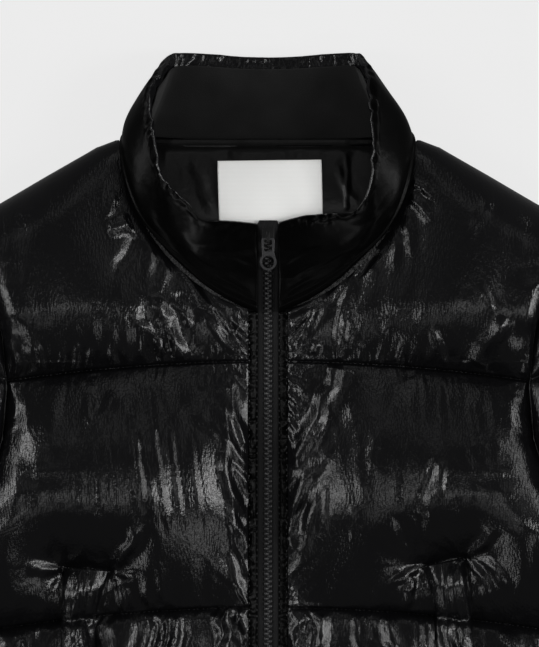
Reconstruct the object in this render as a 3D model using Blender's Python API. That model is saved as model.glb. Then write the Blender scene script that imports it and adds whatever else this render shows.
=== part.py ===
"""Quilted puffer jacket with a stand collar and a full front zip, laid flat on its back.

Lengths are in millimetres here and turn to metres where a mesh is made.
X runs across the jacket and Z up from the surface it lies on.  "drop" is the distance
below the point where shoulder and neck meet, so world Y = NECK_POINT_Y - drop.
Every padded panel is two layers of points over the same outline: its lower face lies on
the panel beneath, its upper face is puffed between the seams.
"""

import math

import bmesh
import bpy
from mathutils import Vector
from mathutils.bvhtree import BVHTree

MM = 0.001
GAP = 0.3
SHARP_FROM = math.radians(50.0)

# Body
BODY_LENGTH = 655.0
COLLAR_TOP_RISE = 65.5
NECK_POINT_Y = (BODY_LENGTH - COLLAR_TOP_RISE) / 2.0
QUILT_DROPS = (169.0, 357.0, 545.0)
QUILT_BOW = 16.0
QUILT_REACH = 310.0
BODY_COLUMNS = 7
# Rows of points down the body at its centre line, close together at the quilt lines.
# Once bowed, one row ends at the shoulder point and one at the underarm point.
BODY_ROWS = (0.0, 5.0, 14.0, 30.0, 60.2, 92.0, 124.0, 150.0, 163.0, 169.0,
             175.0, 192.0, 222.0, 256.0, 288.6, 318.0, 342.0, 351.0, 357.0,
             363.0, 384.0, 425.0, 475.0, 518.0, 539.0, 545.0,
             551.0, 580.0, 620.0, 646.0, 655.0)
SHOULDER_ROW = 4
UNDERARM_ROW = 14
BOW_AT = 205.0
NECK_HALF_WIDTH = 114.0
NECK_DEPTH = 131.0
NECK_ROUNDNESS = 1.75
BACK_NECK_DROP = 3.5
BACK_NECK_HALF = 104.0
SHOULDER_DROP = 68.0
UNDERARM_DROP = 320.0

# Heights above the surface
MIDDLE = 34.0
RIM = 24.0
SEAM = 50.0
CREST = 84.0
BACK_NECK_SINK = 20.0
WALL_AT_RIM = 3.0
RECESS_AT_QUILT = 7.0
RIM_REACH = 34.0
PUFF_REACH = 80.0
MIDDLE_REACH = 60.0

# Sleeve: its rows run square to a straight centre direction
SLEEVE_ANGLE = math.radians(68.3)
SLEEVE_QUILTS = (244.0, 432.0, 620.0)
SLEEVE_END = 730.0
ARMHOLE_GAP = 1.0
SLEEVE_RING_ENDS = (20.0, 400.0)
CUFF_LENGTH = 26.0
CUFF_THICK = 22.0
CUFF_WALL = 9.0
CUFF_INSET = 4.0
CUFF_SIDES = 16

# Collar: its two ends stand this far from the centre line, either side of the zip
COLLAR_START = 8.4

# Zip
ZIP_HEIGHT = 46.0
TAPE_THICK = 1.2
TAPE_EDGE = 8.0
CHAIN_HALF = 3.0
CHAIN_THICK = 2.6
STRIP_INNER = 8.4
STRIP_OUTER = 14.8
STRIP_THICK = 9.0
# Across a strip: how far out, and how high above the zip
STRIP_SECTION = ((STRIP_INNER, 0.5), (11.6, 4.0), (STRIP_OUTER, 3.0))
STRIP_BOTTOM = 3.0 - STRIP_THICK
ZIP_TOP_DROP = 67.0
ZIP_END_DROP = 648.0
BOX_HALF = 4.6
BOX_LENGTH = 11.7
BOX_TOP = 4.0

# Slider and pull tab
SLIDER_HALF = 4.7
SLIDER_LENGTH = 11.5
PLATE_THICK = 1.9
FLANGE_IN = 3.4
LUG_HALF = 1.1
# Along the zip from the hinge line: the lug's foot before it, and its foot after it
LUG_BEFORE = (-5.4, -1.5)
LUG_AFTER = (1.5, 2.7)
# Above the hinge line: underside and top of the lug's bridge
LUG_BRIDGE = (1.4, 2.8)
PIVOT_DROP = 75.8
PIVOT_HEIGHT = 52.6
TAB_TILT = math.radians(5.0)
TAB_THICK = 1.4
RING_CENTRE = -17.7
RING_OUTER = 6.5
RING_INNER = 4.6
RING_TURN = 4.7
# The tab's neck above the ring, and the slot that takes the lug, from its hinge line
TAB_NECK = ((4.7, -10.5), (5.1, -1.5), (4.5, 0.7), (-4.5, 0.7), (-5.1, -1.5), (-4.7, -10.5))
TAB_SLOT = ((3.0, -1.0), (3.0, -8.6), (2.2, -9.4), (-2.2, -9.4), (-3.0, -8.6), (-3.0, -1.0))

# Half width of the body at each drop: shoulder, armhole, then side seam
BODY_OUTLINE = (
    {"drop": 0.0, "half": 117.0},
    {"drop": 2.3, "half": 123.0},
    {"drop": 5.3, "half": 131.0},
    {"drop": 14.4, "half": 147.0},
    {"drop": 27.0, "half": 169.0},
    {"drop": 47.5, "half": 204.0},
    {"drop": 68.0, "half": 240.0},
    {"drop": 90.0, "half": 225.0},
    {"drop": 120.0, "half": 210.0},
    {"drop": 150.0, "half": 202.0},
    {"drop": 190.0, "half": 199.0},
    {"drop": 230.0, "half": 202.0},
    {"drop": 262.0, "half": 214.0},
    {"drop": 290.0, "half": 238.0},
    {"drop": 308.0, "half": 270.0},
    {"drop": 320.0, "half": 305.0},
    {"drop": 400.0, "half": 302.0},
    {"drop": 500.0, "half": 299.0},
    {"drop": 600.0, "half": 297.0},
    {"drop": 655.0, "half": 293.0},
)

# Outer and inner edges of the sleeve, from shoulder and underarm to the cuff
SLEEVE_OUTER = (
    {"x": 243.5, "drop": 66.6},
    {"x": 300.0, "drop": 103.0},
    {"x": 358.0, "drop": 150.0},
    {"x": 410.0, "drop": 215.0},
    {"x": 450.0, "drop": 295.0},
    {"x": 484.0, "drop": 385.0},
    {"x": 514.0, "drop": 480.0},
    {"x": 540.0, "drop": 572.0},
)
SLEEVE_INNER = (
    {"x": 305.0, "drop": 320.0},
    {"x": 330.0, "drop": 352.0},
    {"x": 356.0, "drop": 400.0},
    {"x": 382.0, "drop": 455.0},
    {"x": 405.0, "drop": 505.0},
    {"x": 427.0, "drop": 555.0},
    {"x": 448.0, "drop": 610.0},
)

# Centre line of the collar band from the zip round to the middle of the back:
# where it is sewn on, and where its top edge lies
COLLAR_HALF = (
    {"sewn": (8.4, 131.3, 46.0), "top": (8.4, 68.0, 45.5)},
    {"sewn": (35.0, 119.2, 47.5), "top": (29.0, 62.0, 46.5)},
    {"sewn": (57.6, 103.1, 49.0), "top": (50.0, 58.5, 54.0)},
    {"sewn": (74.1, 86.1, 50.0), "top": (66.0, 53.0, 66.0)},
    {"sewn": (86.2, 70.0, 50.5), "top": (75.0, 40.0, 76.0)},
    {"sewn": (96.3, 52.8, 50.0), "top": (78.5, 20.0, 80.0)},
    {"sewn": (102.9, 35.2, 48.0), "top": (79.0, 0.0, 80.0)},
    {"sewn": (106.9, 17.0, 44.0), "top": (78.0, -25.0, 74.0)},
    {"sewn": (107.8, 4.0, 36.0), "top": (76.5, -45.0, 60.0)},
    {"sewn": (104.0, -1.0, 25.0), "top": (74.0, -56.5, 42.0)},
    {"sewn": (100.0, -1.5, 15.0), "top": (70.0, -63.5, 24.0)},
    {"sewn": (90.0, -0.5, 10.0), "top": (63.0, -65.5, 13.0)},
    {"sewn": (60.0, 1.8, 9.0), "top": (42.0, -64.6, 9.5)},
    {"sewn": (30.0, 2.4, 9.0), "top": (21.0, -63.0, 9.0)},
    {"sewn": (0.0, 2.4, 9.0), "top": (0.0, -62.4, 9.0)},
)
# Its cross-section: share of the way up, and how far the skin stands off the centre line
COLLAR_SECTION = (
    {"up": 0.0, "off": 2.2},
    {"up": 0.22, "off": 7.5},
    {"up": 0.5, "off": 8.5},
    {"up": 0.78, "off": 7.5},
    {"up": 0.95, "off": 4.5},
    {"up": 1.0, "off": 0.5},
    {"up": 0.95, "off": -3.2},
    {"up": 0.78, "off": -5.0},
    {"up": 0.5, "off": -5.5},
    {"up": 0.22, "off": -5.0},
    {"up": 0.0, "off": -2.2},
)
FACING_FROM = 10
FACING_UPS = (0.9, 0.78, 0.5, 0.22, 0.06)
FACING_LIFT = 1.2
FACING_THICK = 1.2

# Pocket welt: middle line and width at each drop
WELT = (
    {"drop": 326.0, "x": 135.0, "width": 34.0},
    {"drop": 345.0, "x": 137.0, "width": 31.0},
    {"drop": 385.0, "x": 141.0, "width": 27.0},
    {"drop": 440.0, "x": 146.0, "width": 27.0},
    {"drop": 495.0, "x": 151.0, "width": 28.0},
)
WELT_THICK = 7.0
WELT_EDGE = 2.0

LINING_HALF = 72.0
LINING_TOP = 9.0
LINING_BOTTOM = 104.0
LINING_INSET = 5.0
LINING_THICK = 1.2
LABEL_LEFT = -38.5
LABEL_RIGHT = 41.5
LABEL_TOP = 16.0
LABEL_BOTTOM = 72.0
LABEL_THICK = 1.0

FINISHES = {
    "shell": {"color": (0.012, 0.012, 0.013, 1.0), "roughness": 0.32},
    "lining": {"color": (0.014, 0.014, 0.015, 1.0), "roughness": 0.38},
    "facing": {"color": (0.018, 0.018, 0.018, 1.0), "roughness": 0.95},
    "label": {"color": (0.85, 0.85, 0.84, 1.0), "roughness": 0.8},
    "tape": {"color": (0.014, 0.014, 0.015, 1.0), "roughness": 0.85},
    "teeth": {"color": (0.016, 0.016, 0.017, 1.0), "roughness": 0.4},
    "pull": {"color": (0.03, 0.03, 0.032, 1.0), "roughness": 0.42},
}


# ---------------------------------------------------------------- helpers

def clear_scene():
    for item in list(bpy.data.objects):
        bpy.data.objects.remove(item, do_unlink=True)


def make_collection(name):
    group = bpy.data.collections.new(name)
    bpy.context.scene.collection.children.link(group)
    return group


def make_materials():
    made = {}
    for name, finish in FINISHES.items():
        material = bpy.data.materials.new(name)
        material.use_nodes = True
        shader = material.node_tree.nodes["Principled BSDF"]
        shader.inputs["Base Color"].default_value = finish["color"]
        shader.inputs["Roughness"].default_value = finish["roughness"]
        shader.inputs["Metallic"].default_value = 0.0
        made[name] = material
    return made


def world(x, drop, z):
    """A point across, down from the neck point and above the surface, in metres."""
    return Vector((x * MM, (NECK_POINT_Y - drop) * MM, z * MM))


def quarter_round(share):
    """0 at a seam, rising like the side of a cushion to 1."""
    share = min(max(share, 0.0), 1.0)
    return math.sqrt(share * (2.0 - share))


def read_table(table, key, value, at):
    """Straight-line reading of one column of a table, by another column."""
    for low, high in zip(table, table[1:]):
        if at <= high[key]:
            share = (at - low[key]) / (high[key] - low[key])
            return low[value] + (high[value] - low[value]) * max(share, 0.0)
    return table[-1][value]


def distance(x, drop, paths):
    """Shortest distance in plan from a point to any of the paths."""
    nearest = 1.0e6
    for path in paths:
        for (ax, ay), (bx, by) in zip(path, path[1:]):
            run_x, run_y = bx - ax, by - ay
            length = run_x * run_x + run_y * run_y
            share = ((x - ax) * run_x + (drop - ay) * run_y) / length
            share = min(max(share, 0.0), 1.0)
            gap = math.hypot(ax + run_x * share - x, ay + run_y * share - drop)
            nearest = min(nearest, gap)
    return nearest


def spaced(start, end, count):
    """Evenly spaced values, ends included."""
    return [start + (end - start) * i / count for i in range(count + 1)]


def gathered(start, end, count):
    """Values that crowd towards both ends, where a puff meets its seams."""
    turns = [0.5 - 0.5 * math.cos(math.pi * i / count) for i in range(count + 1)]
    return [start + (end - start) * (0.45 * i / count + 0.55 * turn)
            for i, turn in enumerate(turns)]


class Maker:
    """Turns meshes into named objects in the jacket's collection."""

    def __init__(self, group, materials):
        self.group = group
        self.materials = materials

    def place(self, name, mesh, finish):
        item = bpy.data.objects.new(name, mesh)
        self.group.objects.link(item)
        mesh.materials.clear()
        mesh.materials.append(self.materials[finish])
        mesh.shade_smooth()
        mesh.set_sharp_from_angle(angle=SHARP_FROM)
        return item

    def solid(self, name, upper, lower, finish):
        """A closed wall between two layers of points over the same outline."""
        shape = bmesh.new()
        tops = [[shape.verts.new(point) for point in row] for row in upper]
        bottoms = [[shape.verts.new(point) for point in row] for row in lower]
        last = len(upper) - 1
        end = len(upper[0]) - 1
        for i in range(last):
            for j in range(end):
                self.fill_cell(shape, tops, i, j, False)
                self.fill_cell(shape, bottoms, i, j, True)
            shape.faces.new((tops[i][0], bottoms[i][0], bottoms[i + 1][0], tops[i + 1][0]))
            shape.faces.new((tops[i][end], tops[i + 1][end], bottoms[i + 1][end],
                             bottoms[i][end]))
        for j in range(end):
            shape.faces.new((tops[0][j], tops[0][j + 1], bottoms[0][j + 1], bottoms[0][j]))
            shape.faces.new((tops[last][j], bottoms[last][j], bottoms[last][j + 1],
                             tops[last][j + 1]))
        return self.finish_solid(name, shape, finish)

    def fill_cell(self, shape, layer, i, j, facing_down):
        """Two triangles; the diagonal runs down and away from the jacket's centre line,
        so that layers made on the same rows stay parallel."""
        near, below = layer[i][j], layer[i + 1][j]
        far, beside = layer[i + 1][j + 1], layer[i][j + 1]
        if abs(beside.co.x) >= abs(near.co.x):
            faces = ((near, below, far), (near, far, beside))
        else:
            faces = ((near, below, beside), (below, far, beside))
        for face in faces:
            shape.faces.new(tuple(reversed(face)) if facing_down else face)

    def band(self, name, rings, finish):
        """A closed body lofted through rings of points, capped at both ends."""
        shape = bmesh.new()
        loops = [[shape.verts.new(point) for point in ring] for ring in rings]
        count = len(rings[0])
        for near, far in zip(loops, loops[1:]):
            for i in range(count):
                following = (i + 1) % count
                shape.faces.new((near[i], near[following], far[following], far[i]))
        shape.faces.new(list(reversed(loops[0])))
        shape.faces.new(loops[-1])
        return self.finish_solid(name, shape, finish)

    def finish_solid(self, name, shape, finish):
        bmesh.ops.triangulate(shape, faces=shape.faces[:])
        if shape.calc_volume(signed=True) < 0.0:
            bmesh.ops.reverse_faces(shape, faces=shape.faces[:])
        mesh = bpy.data.meshes.new(name)
        shape.to_mesh(mesh)
        shape.free()
        return self.place(name, mesh, finish)

    def box(self, name, low, high, finish):
        """A block between two corners, given across, drop and height."""
        corner = world(*low)
        other = world(*high)
        shape = bmesh.new()
        bmesh.ops.create_cube(shape, size=1.0)
        for vert in shape.verts:
            for axis in range(3):
                middle = (corner[axis] + other[axis]) / 2.0
                vert.co[axis] = middle + vert.co[axis] * abs(other[axis] - corner[axis])
        return self.finish_solid(name, shape, finish)


# ---------------------------------------------------------------- outlines

def half_width(drop):
    return read_table(BODY_OUTLINE, "drop", "half", drop)


def neck_half_width(drop):
    """Half width of the front neck opening: a rounded V."""
    share = min(max(drop / NECK_DEPTH, 0.0), 1.0)
    return NECK_HALF_WIDTH * (1.0 - share ** NECK_ROUNDNESS) ** (1.0 / NECK_ROUNDNESS)


def bow(x, drop):
    """Quilt lines hang lower towards the sides; shoulder and hem stay as cut."""
    room = min(drop / QUILT_DROPS[0], (BODY_LENGTH - drop) / (BODY_LENGTH - QUILT_DROPS[-1]), 1.0)
    return QUILT_BOW * room * min(abs(x) / BOW_AT, 1.4) ** 2


def bowed(x, drop):
    return drop + bow(x, drop)


def row_end(drop):
    """Half width of the body where a bowed row meets its outline."""
    outer = half_width(drop)
    for _ in range(12):
        outer = 0.5 * (outer + half_width(min(bowed(outer, drop), BODY_LENGTH)))
    return outer


def outline_paths():
    """The body's seams in plan, right half, as lists of (x, drop)."""
    shoulder = [(half_width(d), d) for d in spaced(0.0, SHOULDER_DROP, 14)]
    armhole = []
    for drop in BODY_ROWS[SHOULDER_ROW:UNDERARM_ROW + 1]:
        x = row_end(drop)
        armhole.append((x, bowed(x, drop)))
    side = [(half_width(d), d) for d in spaced(UNDERARM_DROP, BODY_LENGTH, 8)]
    hem = [(-half_width(BODY_LENGTH), BODY_LENGTH), (half_width(BODY_LENGTH), BODY_LENGTH)]
    neck = [(neck_half_width(d), d) for d in gathered(0.0, NECK_DEPTH, 20)]
    edge = [(STRIP_OUTER, NECK_DEPTH), (STRIP_OUTER, BODY_LENGTH)]
    quilts = [[(x, bowed(x, drop)) for x in spaced(0.0, QUILT_REACH, 16)]
              for drop in QUILT_DROPS]
    return {"shoulder": shoulder, "armhole": armhole, "side": side, "hem": hem,
            "neck": neck, "edge": edge, "quilts": quilts}


SEAMS = outline_paths()


def middle_height(x, drop):
    """Where the front layers meet the back layers."""
    rim = distance(abs(x), drop, (SEAMS["shoulder"], SEAMS["side"], SEAMS["hem"]))
    neck = distance(x, drop, ([(-BACK_NECK_HALF, 0.0), (BACK_NECK_HALF, 0.0)],))
    return (MIDDLE - (MIDDLE - RIM) * (1.0 - quarter_round(rim / MIDDLE_REACH))
            - BACK_NECK_SINK * (1.0 - quarter_round(neck / MIDDLE_REACH)))


def puffed(free, seam_gap, rim_gap):
    """Height of a puffed face, from its distances to all seams and to the garment's rim."""
    return (RIM + WALL_AT_RIM + (SEAM - RIM - WALL_AT_RIM) * quarter_round(rim_gap / RIM_REACH)
            + (CREST - SEAM) * quarter_round(seam_gap / PUFF_REACH) * free)


def front_height(x, drop):
    rim = distance(x, drop, (SEAMS["shoulder"], SEAMS["side"], SEAMS["hem"]))
    seam = distance(x, drop, [SEAMS["armhole"], SEAMS["neck"], SEAMS["edge"]] + SEAMS["quilts"])
    return puffed(1.0, min(rim, seam), rim)


def under_height(rim_gap, quilt_gap):
    """The underside: flat on the surface, turned up at the rim, recessed at quilt lines."""
    rim = (RIM - WALL_AT_RIM) * (1.0 - quarter_round(rim_gap / RIM_REACH))
    return max(rim, RECESS_AT_QUILT * (1.0 - quarter_round(quilt_gap / RIM_REACH)))


# ---------------------------------------------------------------- body panels

def front_inner(drop):
    if drop >= NECK_DEPTH:
        return STRIP_OUTER + GAP
    return max(neck_half_width(drop), STRIP_OUTER + GAP)


def body_rows():
    """Rows of (x, drop) across a right front, from its inner edge to the body's outline."""
    rows = []
    for drop in BODY_ROWS:
        outer = row_end(drop)
        start = front_inner(drop)
        row = []
        for share in gathered(0.0, 1.0, BODY_COLUMNS):
            x = start + (outer - start) * share
            row.append((x, bowed(x, drop)))
        rows.append(row)
    return rows


def make_fronts(maker):
    for side, name in ((-1.0, "front_left"), (1.0, "front_right")):
        rows = [[(side * x, drop) for x, drop in row] for row in body_rows()]
        upper = [[world(x, d, front_height(abs(x), d)) for x, d in row] for row in rows]
        lower = [[world(x, d, middle_height(x, d) + GAP) for x, d in row] for row in rows]
        maker.solid(name, upper, lower, "shell")


def make_back(maker):
    """The back takes the fronts' rows on both sides, joined across the middle."""
    upper, lower = [], []
    for half in body_rows():
        start_x, start_drop = half[0]
        across = [(start_x * share, start_drop) for share in (-0.5, 0.0, 0.5)]
        row = [(-x, drop) for x, drop in reversed(half)] + across + half
        if start_drop < BACK_NECK_DROP:
            row = [(x, max(drop, BACK_NECK_DROP) if abs(x) < NECK_HALF_WIDTH - 8.0 else drop)
                   for x, drop in row]
        upper.append([world(x, d, middle_height(x, d)) for x, d in row])
        below = []
        for x, d in row:
            rim = distance(abs(x), d, (SEAMS["shoulder"], SEAMS["side"], SEAMS["hem"]))
            quilt = distance(abs(x), d, SEAMS["quilts"] + [SEAMS["armhole"]])
            z = min(under_height(rim, quilt), middle_height(x, d) - WALL_AT_RIM)
            below.append(world(x, d, z))
        lower.append(below)
    maker.solid("back_panel", upper, lower, "shell")


# ---------------------------------------------------------------- sleeves

def to_sleeve(x, drop):
    """Along the sleeve and across it, from x and drop."""
    along = x * math.cos(SLEEVE_ANGLE) + drop * math.sin(SLEEVE_ANGLE)
    across = x * math.sin(SLEEVE_ANGLE) - drop * math.cos(SLEEVE_ANGLE)
    return along, across


def from_sleeve(along, across):
    x = along * math.cos(SLEEVE_ANGLE) + across * math.sin(SLEEVE_ANGLE)
    drop = along * math.sin(SLEEVE_ANGLE) - across * math.cos(SLEEVE_ANGLE)
    return x, drop


def sleeve_table(points):
    table = []
    for x, drop in points:
        along, across = to_sleeve(x, drop)
        table.append({"along": along, "across": across})
    return table


ARMHOLE_TABLE = sleeve_table(SEAMS["armhole"])
OUTER_TABLE = sleeve_table([(row["x"], row["drop"]) for row in SLEEVE_OUTER])
INNER_TABLE = sleeve_table([(row["x"], row["drop"]) for row in SLEEVE_INNER])
UNDERARM_ALONG = ARMHOLE_TABLE[-1]["along"]


def sleeve_edges(along):
    """Inner and outer edge across the sleeve; the inner one is the armhole at first."""
    outer = read_table(OUTER_TABLE, "along", "across", along)
    table = ARMHOLE_TABLE if along <= UNDERARM_ALONG else INNER_TABLE
    return read_table(table, "along", "across", along) + ARMHOLE_GAP, outer


def sleeve_rows(side, columns=6):
    """Rows across the sleeve: at the body's own points along the armhole, then to the cuff."""
    stops = (UNDERARM_ALONG,) + SLEEVE_QUILTS[1:] + (SLEEVE_END,)
    alongs = [row["along"] for row in ARMHOLE_TABLE[:-1]]
    for start, end, count in zip(stops, stops[1:], (1, 5, 4)):
        alongs += gathered(start, end, count)[:-1]
    rows = []
    for along in alongs + [SLEEVE_END]:
        inner, outer = sleeve_edges(along)
        row = []
        for share in gathered(0.0, 1.0, columns):
            x, drop = from_sleeve(along, inner + (outer - inner) * share)
            row.append((side * x, drop))
        rows.append(row)
    return rows


SLEEVE_RIM = [
    [(row["x"], row["drop"]) for row in SLEEVE_OUTER],
    [(row["x"], row["drop"]) for row in SLEEVE_INNER],
]
SLEEVE_RINGS = [[from_sleeve(along, across) for across in SLEEVE_RING_ENDS]
                for along in SLEEVE_QUILTS + (SLEEVE_END,)]


def sleeve_gaps(x, drop):
    rim = distance(abs(x), drop, SLEEVE_RIM)
    rings = distance(abs(x), drop, SLEEVE_RINGS)
    armhole = distance(abs(x), drop, (SEAMS["armhole"],))
    return rim, rings, armhole


def sleeve_middle(x, drop):
    rim = sleeve_gaps(x, drop)[0]
    return RIM + (MIDDLE - RIM) * quarter_round(rim / MIDDLE_REACH)


def sleeve_upper_height(x, drop):
    rim, rings, armhole = sleeve_gaps(x, drop)
    return puffed(0.9, min(rim, rings, armhole), rim)


def sleeve_under_height(x, drop):
    rim, rings, armhole = sleeve_gaps(x, drop)
    return under_height(rim, min(rings, armhole))


def make_sleeves(maker):
    for side, name in ((-1.0, "left"), (1.0, "right")):
        rows = sleeve_rows(side)
        tops = [[world(x, d, sleeve_upper_height(x, d)) for x, d in row] for row in rows]
        over = [[world(x, d, sleeve_middle(x, d) + GAP) for x, d in row] for row in rows]
        under = [[world(x, d, sleeve_middle(x, d)) for x, d in row] for row in rows]
        bottoms = [[world(x, d, sleeve_under_height(x, d)) for x, d in row] for row in rows]
        maker.solid("sleeve_upper_" + name, tops, over, "shell")
        maker.solid("sleeve_under_" + name, under, bottoms, "shell")
        make_cuff(maker, side, "cuff_" + name)


def make_cuff(maker, side, name):
    """A flattened elastic ring with a narrow slit through it."""
    inner, outer = sleeve_edges(SLEEVE_END)
    middle = (inner + outer) / 2.0
    half = (outer - inner) / 2.0 - CUFF_INSET
    height = RIM + GAP / 2.0
    slit = CUFF_THICK / 2.0 - CUFF_WALL
    shape = bmesh.new()
    loops = []
    for along in (SLEEVE_END + GAP, SLEEVE_END + CUFF_LENGTH):
        for reach, rise in ((half, CUFF_THICK / 2.0), (half - CUFF_WALL, slit)):
            loop = []
            for step in range(CUFF_SIDES):
                turn = math.tau * step / CUFF_SIDES
                across = middle + reach * math.cos(turn)
                x, drop = from_sleeve(along, across)
                loop.append(shape.verts.new(world(side * x, drop, height + rise * math.sin(turn))))
            loops.append(loop)
    near_out, near_in, far_out, far_in = loops
    for i in range(CUFF_SIDES):
        j = (i + 1) % CUFF_SIDES
        shape.faces.new((near_out[i], near_out[j], far_out[j], far_out[i]))
        shape.faces.new((near_in[j], near_in[i], far_in[i], far_in[j]))
        shape.faces.new((near_out[j], near_out[i], near_in[i], near_in[j]))
        shape.faces.new((far_out[i], far_out[j], far_in[j], far_in[i]))
    maker.finish_solid(name, shape, "shell")


# ---------------------------------------------------------------- collar

def collar_stations():
    """The band's centre line from the right zip edge round the back to the left one."""
    right = [{"sewn": world(*row["sewn"]), "top": world(*row["top"])} for row in COLLAR_HALF]
    left = []
    for row in reversed(right[:-1]):
        left.append({end: Vector((-row[end].x, row[end].y, row[end].z)) for end in row})
    return right + left


def collar_skin(stations, section):
    """Rings of points round the band, standing off its centre line."""
    centres = [(row["sewn"] + row["top"]) / 2.0 for row in stations]
    rings = []
    for i, row in enumerate(stations):
        after = centres[min(i + 1, len(centres) - 1)]
        before = centres[max(i - 1, 0)]
        outward = (after - before).cross(row["top"] - row["sewn"]).normalized()
        rings.append([row["sewn"].lerp(row["top"], point["up"]) + outward * point["off"] * MM
                      for point in section])
    for ring in (rings[0], rings[-1]):
        edge = COLLAR_START * MM
        for point in ring:
            point.x = math.copysign(edge, point.x)
    return rings


def make_collar(maker):
    stations = collar_stations()
    maker.band("collar", collar_skin(stations, COLLAR_SECTION), "shell")
    inside = COLLAR_SECTION[5:]
    near, far = [], []
    for up in FACING_UPS:
        off = read_table(list(reversed(inside)), "up", "off", up)
        near.append({"up": up, "off": off - FACING_LIFT})
        far.append({"up": up, "off": off - FACING_LIFT - FACING_THICK})
    chosen = slice(FACING_FROM, len(stations) - FACING_FROM)
    lower = collar_skin(stations, near)[chosen]
    upper = collar_skin(stations, far)[chosen]
    maker.solid("collar_facing", upper, lower, "facing")


# ---------------------------------------------------------------- pieces laid on panels

def lie_on(tree, x, drop, around):
    """Height of the highest point of a piece near a place, seen from above, in mm."""
    heights = []
    for step_x in (-around, 0.0, around):
        for step_y in (-around, 0.0, around):
            start = world(x + step_x, drop + step_y, 200.0)
            hit = tree.ray_cast(start, Vector((0.0, 0.0, -1.0)))[0]
            if hit is not None:
                heights.append(hit.z / MM)
    return max(heights)


def surface_of(name):
    shape = bmesh.new()
    shape.from_mesh(bpy.data.objects[name].data)
    tree = BVHTree.FromBMesh(shape)
    shape.free()
    return tree


def lay_sheet(maker, name, beneath, rows, thickness, finish, around=8.0):
    """A cloth sheet on another piece's upper face, made from that face's points."""
    tree = surface_of(beneath)
    lower, upper = [], []
    for row in rows:
        heights = [lie_on(tree, x, drop, around) + GAP for x, drop in row]
        lower.append([world(x, drop, z) for (x, drop), z in zip(row, heights)])
        upper.append([world(x, drop, z + thickness(i / (len(row) - 1)))
                      for i, ((x, drop), z) in enumerate(zip(row, heights))])
    maker.solid(name, upper, lower, finish)


def make_lining_and_label(maker):
    rows = []
    for drop in spaced(LINING_TOP, LINING_BOTTOM, 6):
        half = min(LINING_HALF, neck_half_width(drop) - LINING_INSET)
        rows.append([(x, drop) for x in spaced(-half, half, 8)])
    lay_sheet(maker, "neck_lining", "back_panel", rows, lambda share: LINING_THICK, "lining")
    rows = [[(x, drop) for x in spaced(LABEL_LEFT, LABEL_RIGHT, 5)]
            for drop in spaced(LABEL_TOP, LABEL_BOTTOM, 4)]
    lay_sheet(maker, "neck_label", "neck_lining", rows, lambda share: LABEL_THICK, "label")


def welt_thickness(share):
    return WELT_EDGE + (WELT_THICK - WELT_EDGE) * quarter_round(2.0 * min(share, 1.0 - share))


def make_pocket_welts(maker):
    for side, name in ((-1.0, "left"), (1.0, "right")):
        rows = []
        for drop in spaced(WELT[0]["drop"], WELT[-1]["drop"], 14):
            middle = read_table(WELT, "drop", "x", drop)
            width = read_table(WELT, "drop", "width", drop)
            rows.append([(side * (middle + width * (share - 0.5)), drop)
                         for share in spaced(0.0, 1.0, 4)])
        lay_sheet(maker, "pocket_welt_" + name, "front_" + name, rows,
                  welt_thickness, "shell", around=6.0)


# ---------------------------------------------------------------- zip

def make_zip(maker):
    for side, name in ((-1.0, "left"), (1.0, "right")):
        make_edge_strip(maker, side, "edge_strip_" + name)
        maker.box("zip_tape_" + name,
                  (side * GAP, ZIP_TOP_DROP, ZIP_HEIGHT - TAPE_THICK),
                  (side * TAPE_EDGE, ZIP_END_DROP, ZIP_HEIGHT), "tape")
    maker.box("zip_chain",
              (-CHAIN_HALF, ZIP_TOP_DROP + 2.0, ZIP_HEIGHT + GAP),
              (CHAIN_HALF, ZIP_END_DROP - BOX_LENGTH - GAP, ZIP_HEIGHT + GAP + CHAIN_THICK),
              "teeth")
    maker.box("zip_box",
              (-BOX_HALF, ZIP_END_DROP - BOX_LENGTH, ZIP_HEIGHT + GAP),
              (BOX_HALF, ZIP_END_DROP, ZIP_HEIGHT + BOX_TOP), "teeth")
    make_slider(maker)
    make_pull(maker)


def make_edge_strip(maker, side, name):
    """The narrow gathered strip between the front and the zip tape."""
    tops, bottoms = [], []
    for drop in spaced(NECK_DEPTH + 1.0, BODY_LENGTH - 1.0, 10):
        tops.append([world(side * x, drop, ZIP_HEIGHT + rise) for x, rise in STRIP_SECTION])
        bottoms.append([world(side * x, drop, ZIP_HEIGHT + STRIP_BOTTOM)
                        for x, _ in STRIP_SECTION])
    maker.solid(name, tops, bottoms, "shell")


def join_into(target, other):
    """Union of two bodies with the EXACT solver, applied to the first."""
    joining = target.modifiers.new("join", "BOOLEAN")
    joining.operation = "UNION"
    joining.solver = "EXACT"
    joining.object = other
    done = bpy.data.meshes.new_from_object(
        target.evaluated_get(bpy.context.evaluated_depsgraph_get()))
    target.modifiers.remove(joining)
    target.data = done
    bpy.data.objects.remove(other, do_unlink=True)


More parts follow.
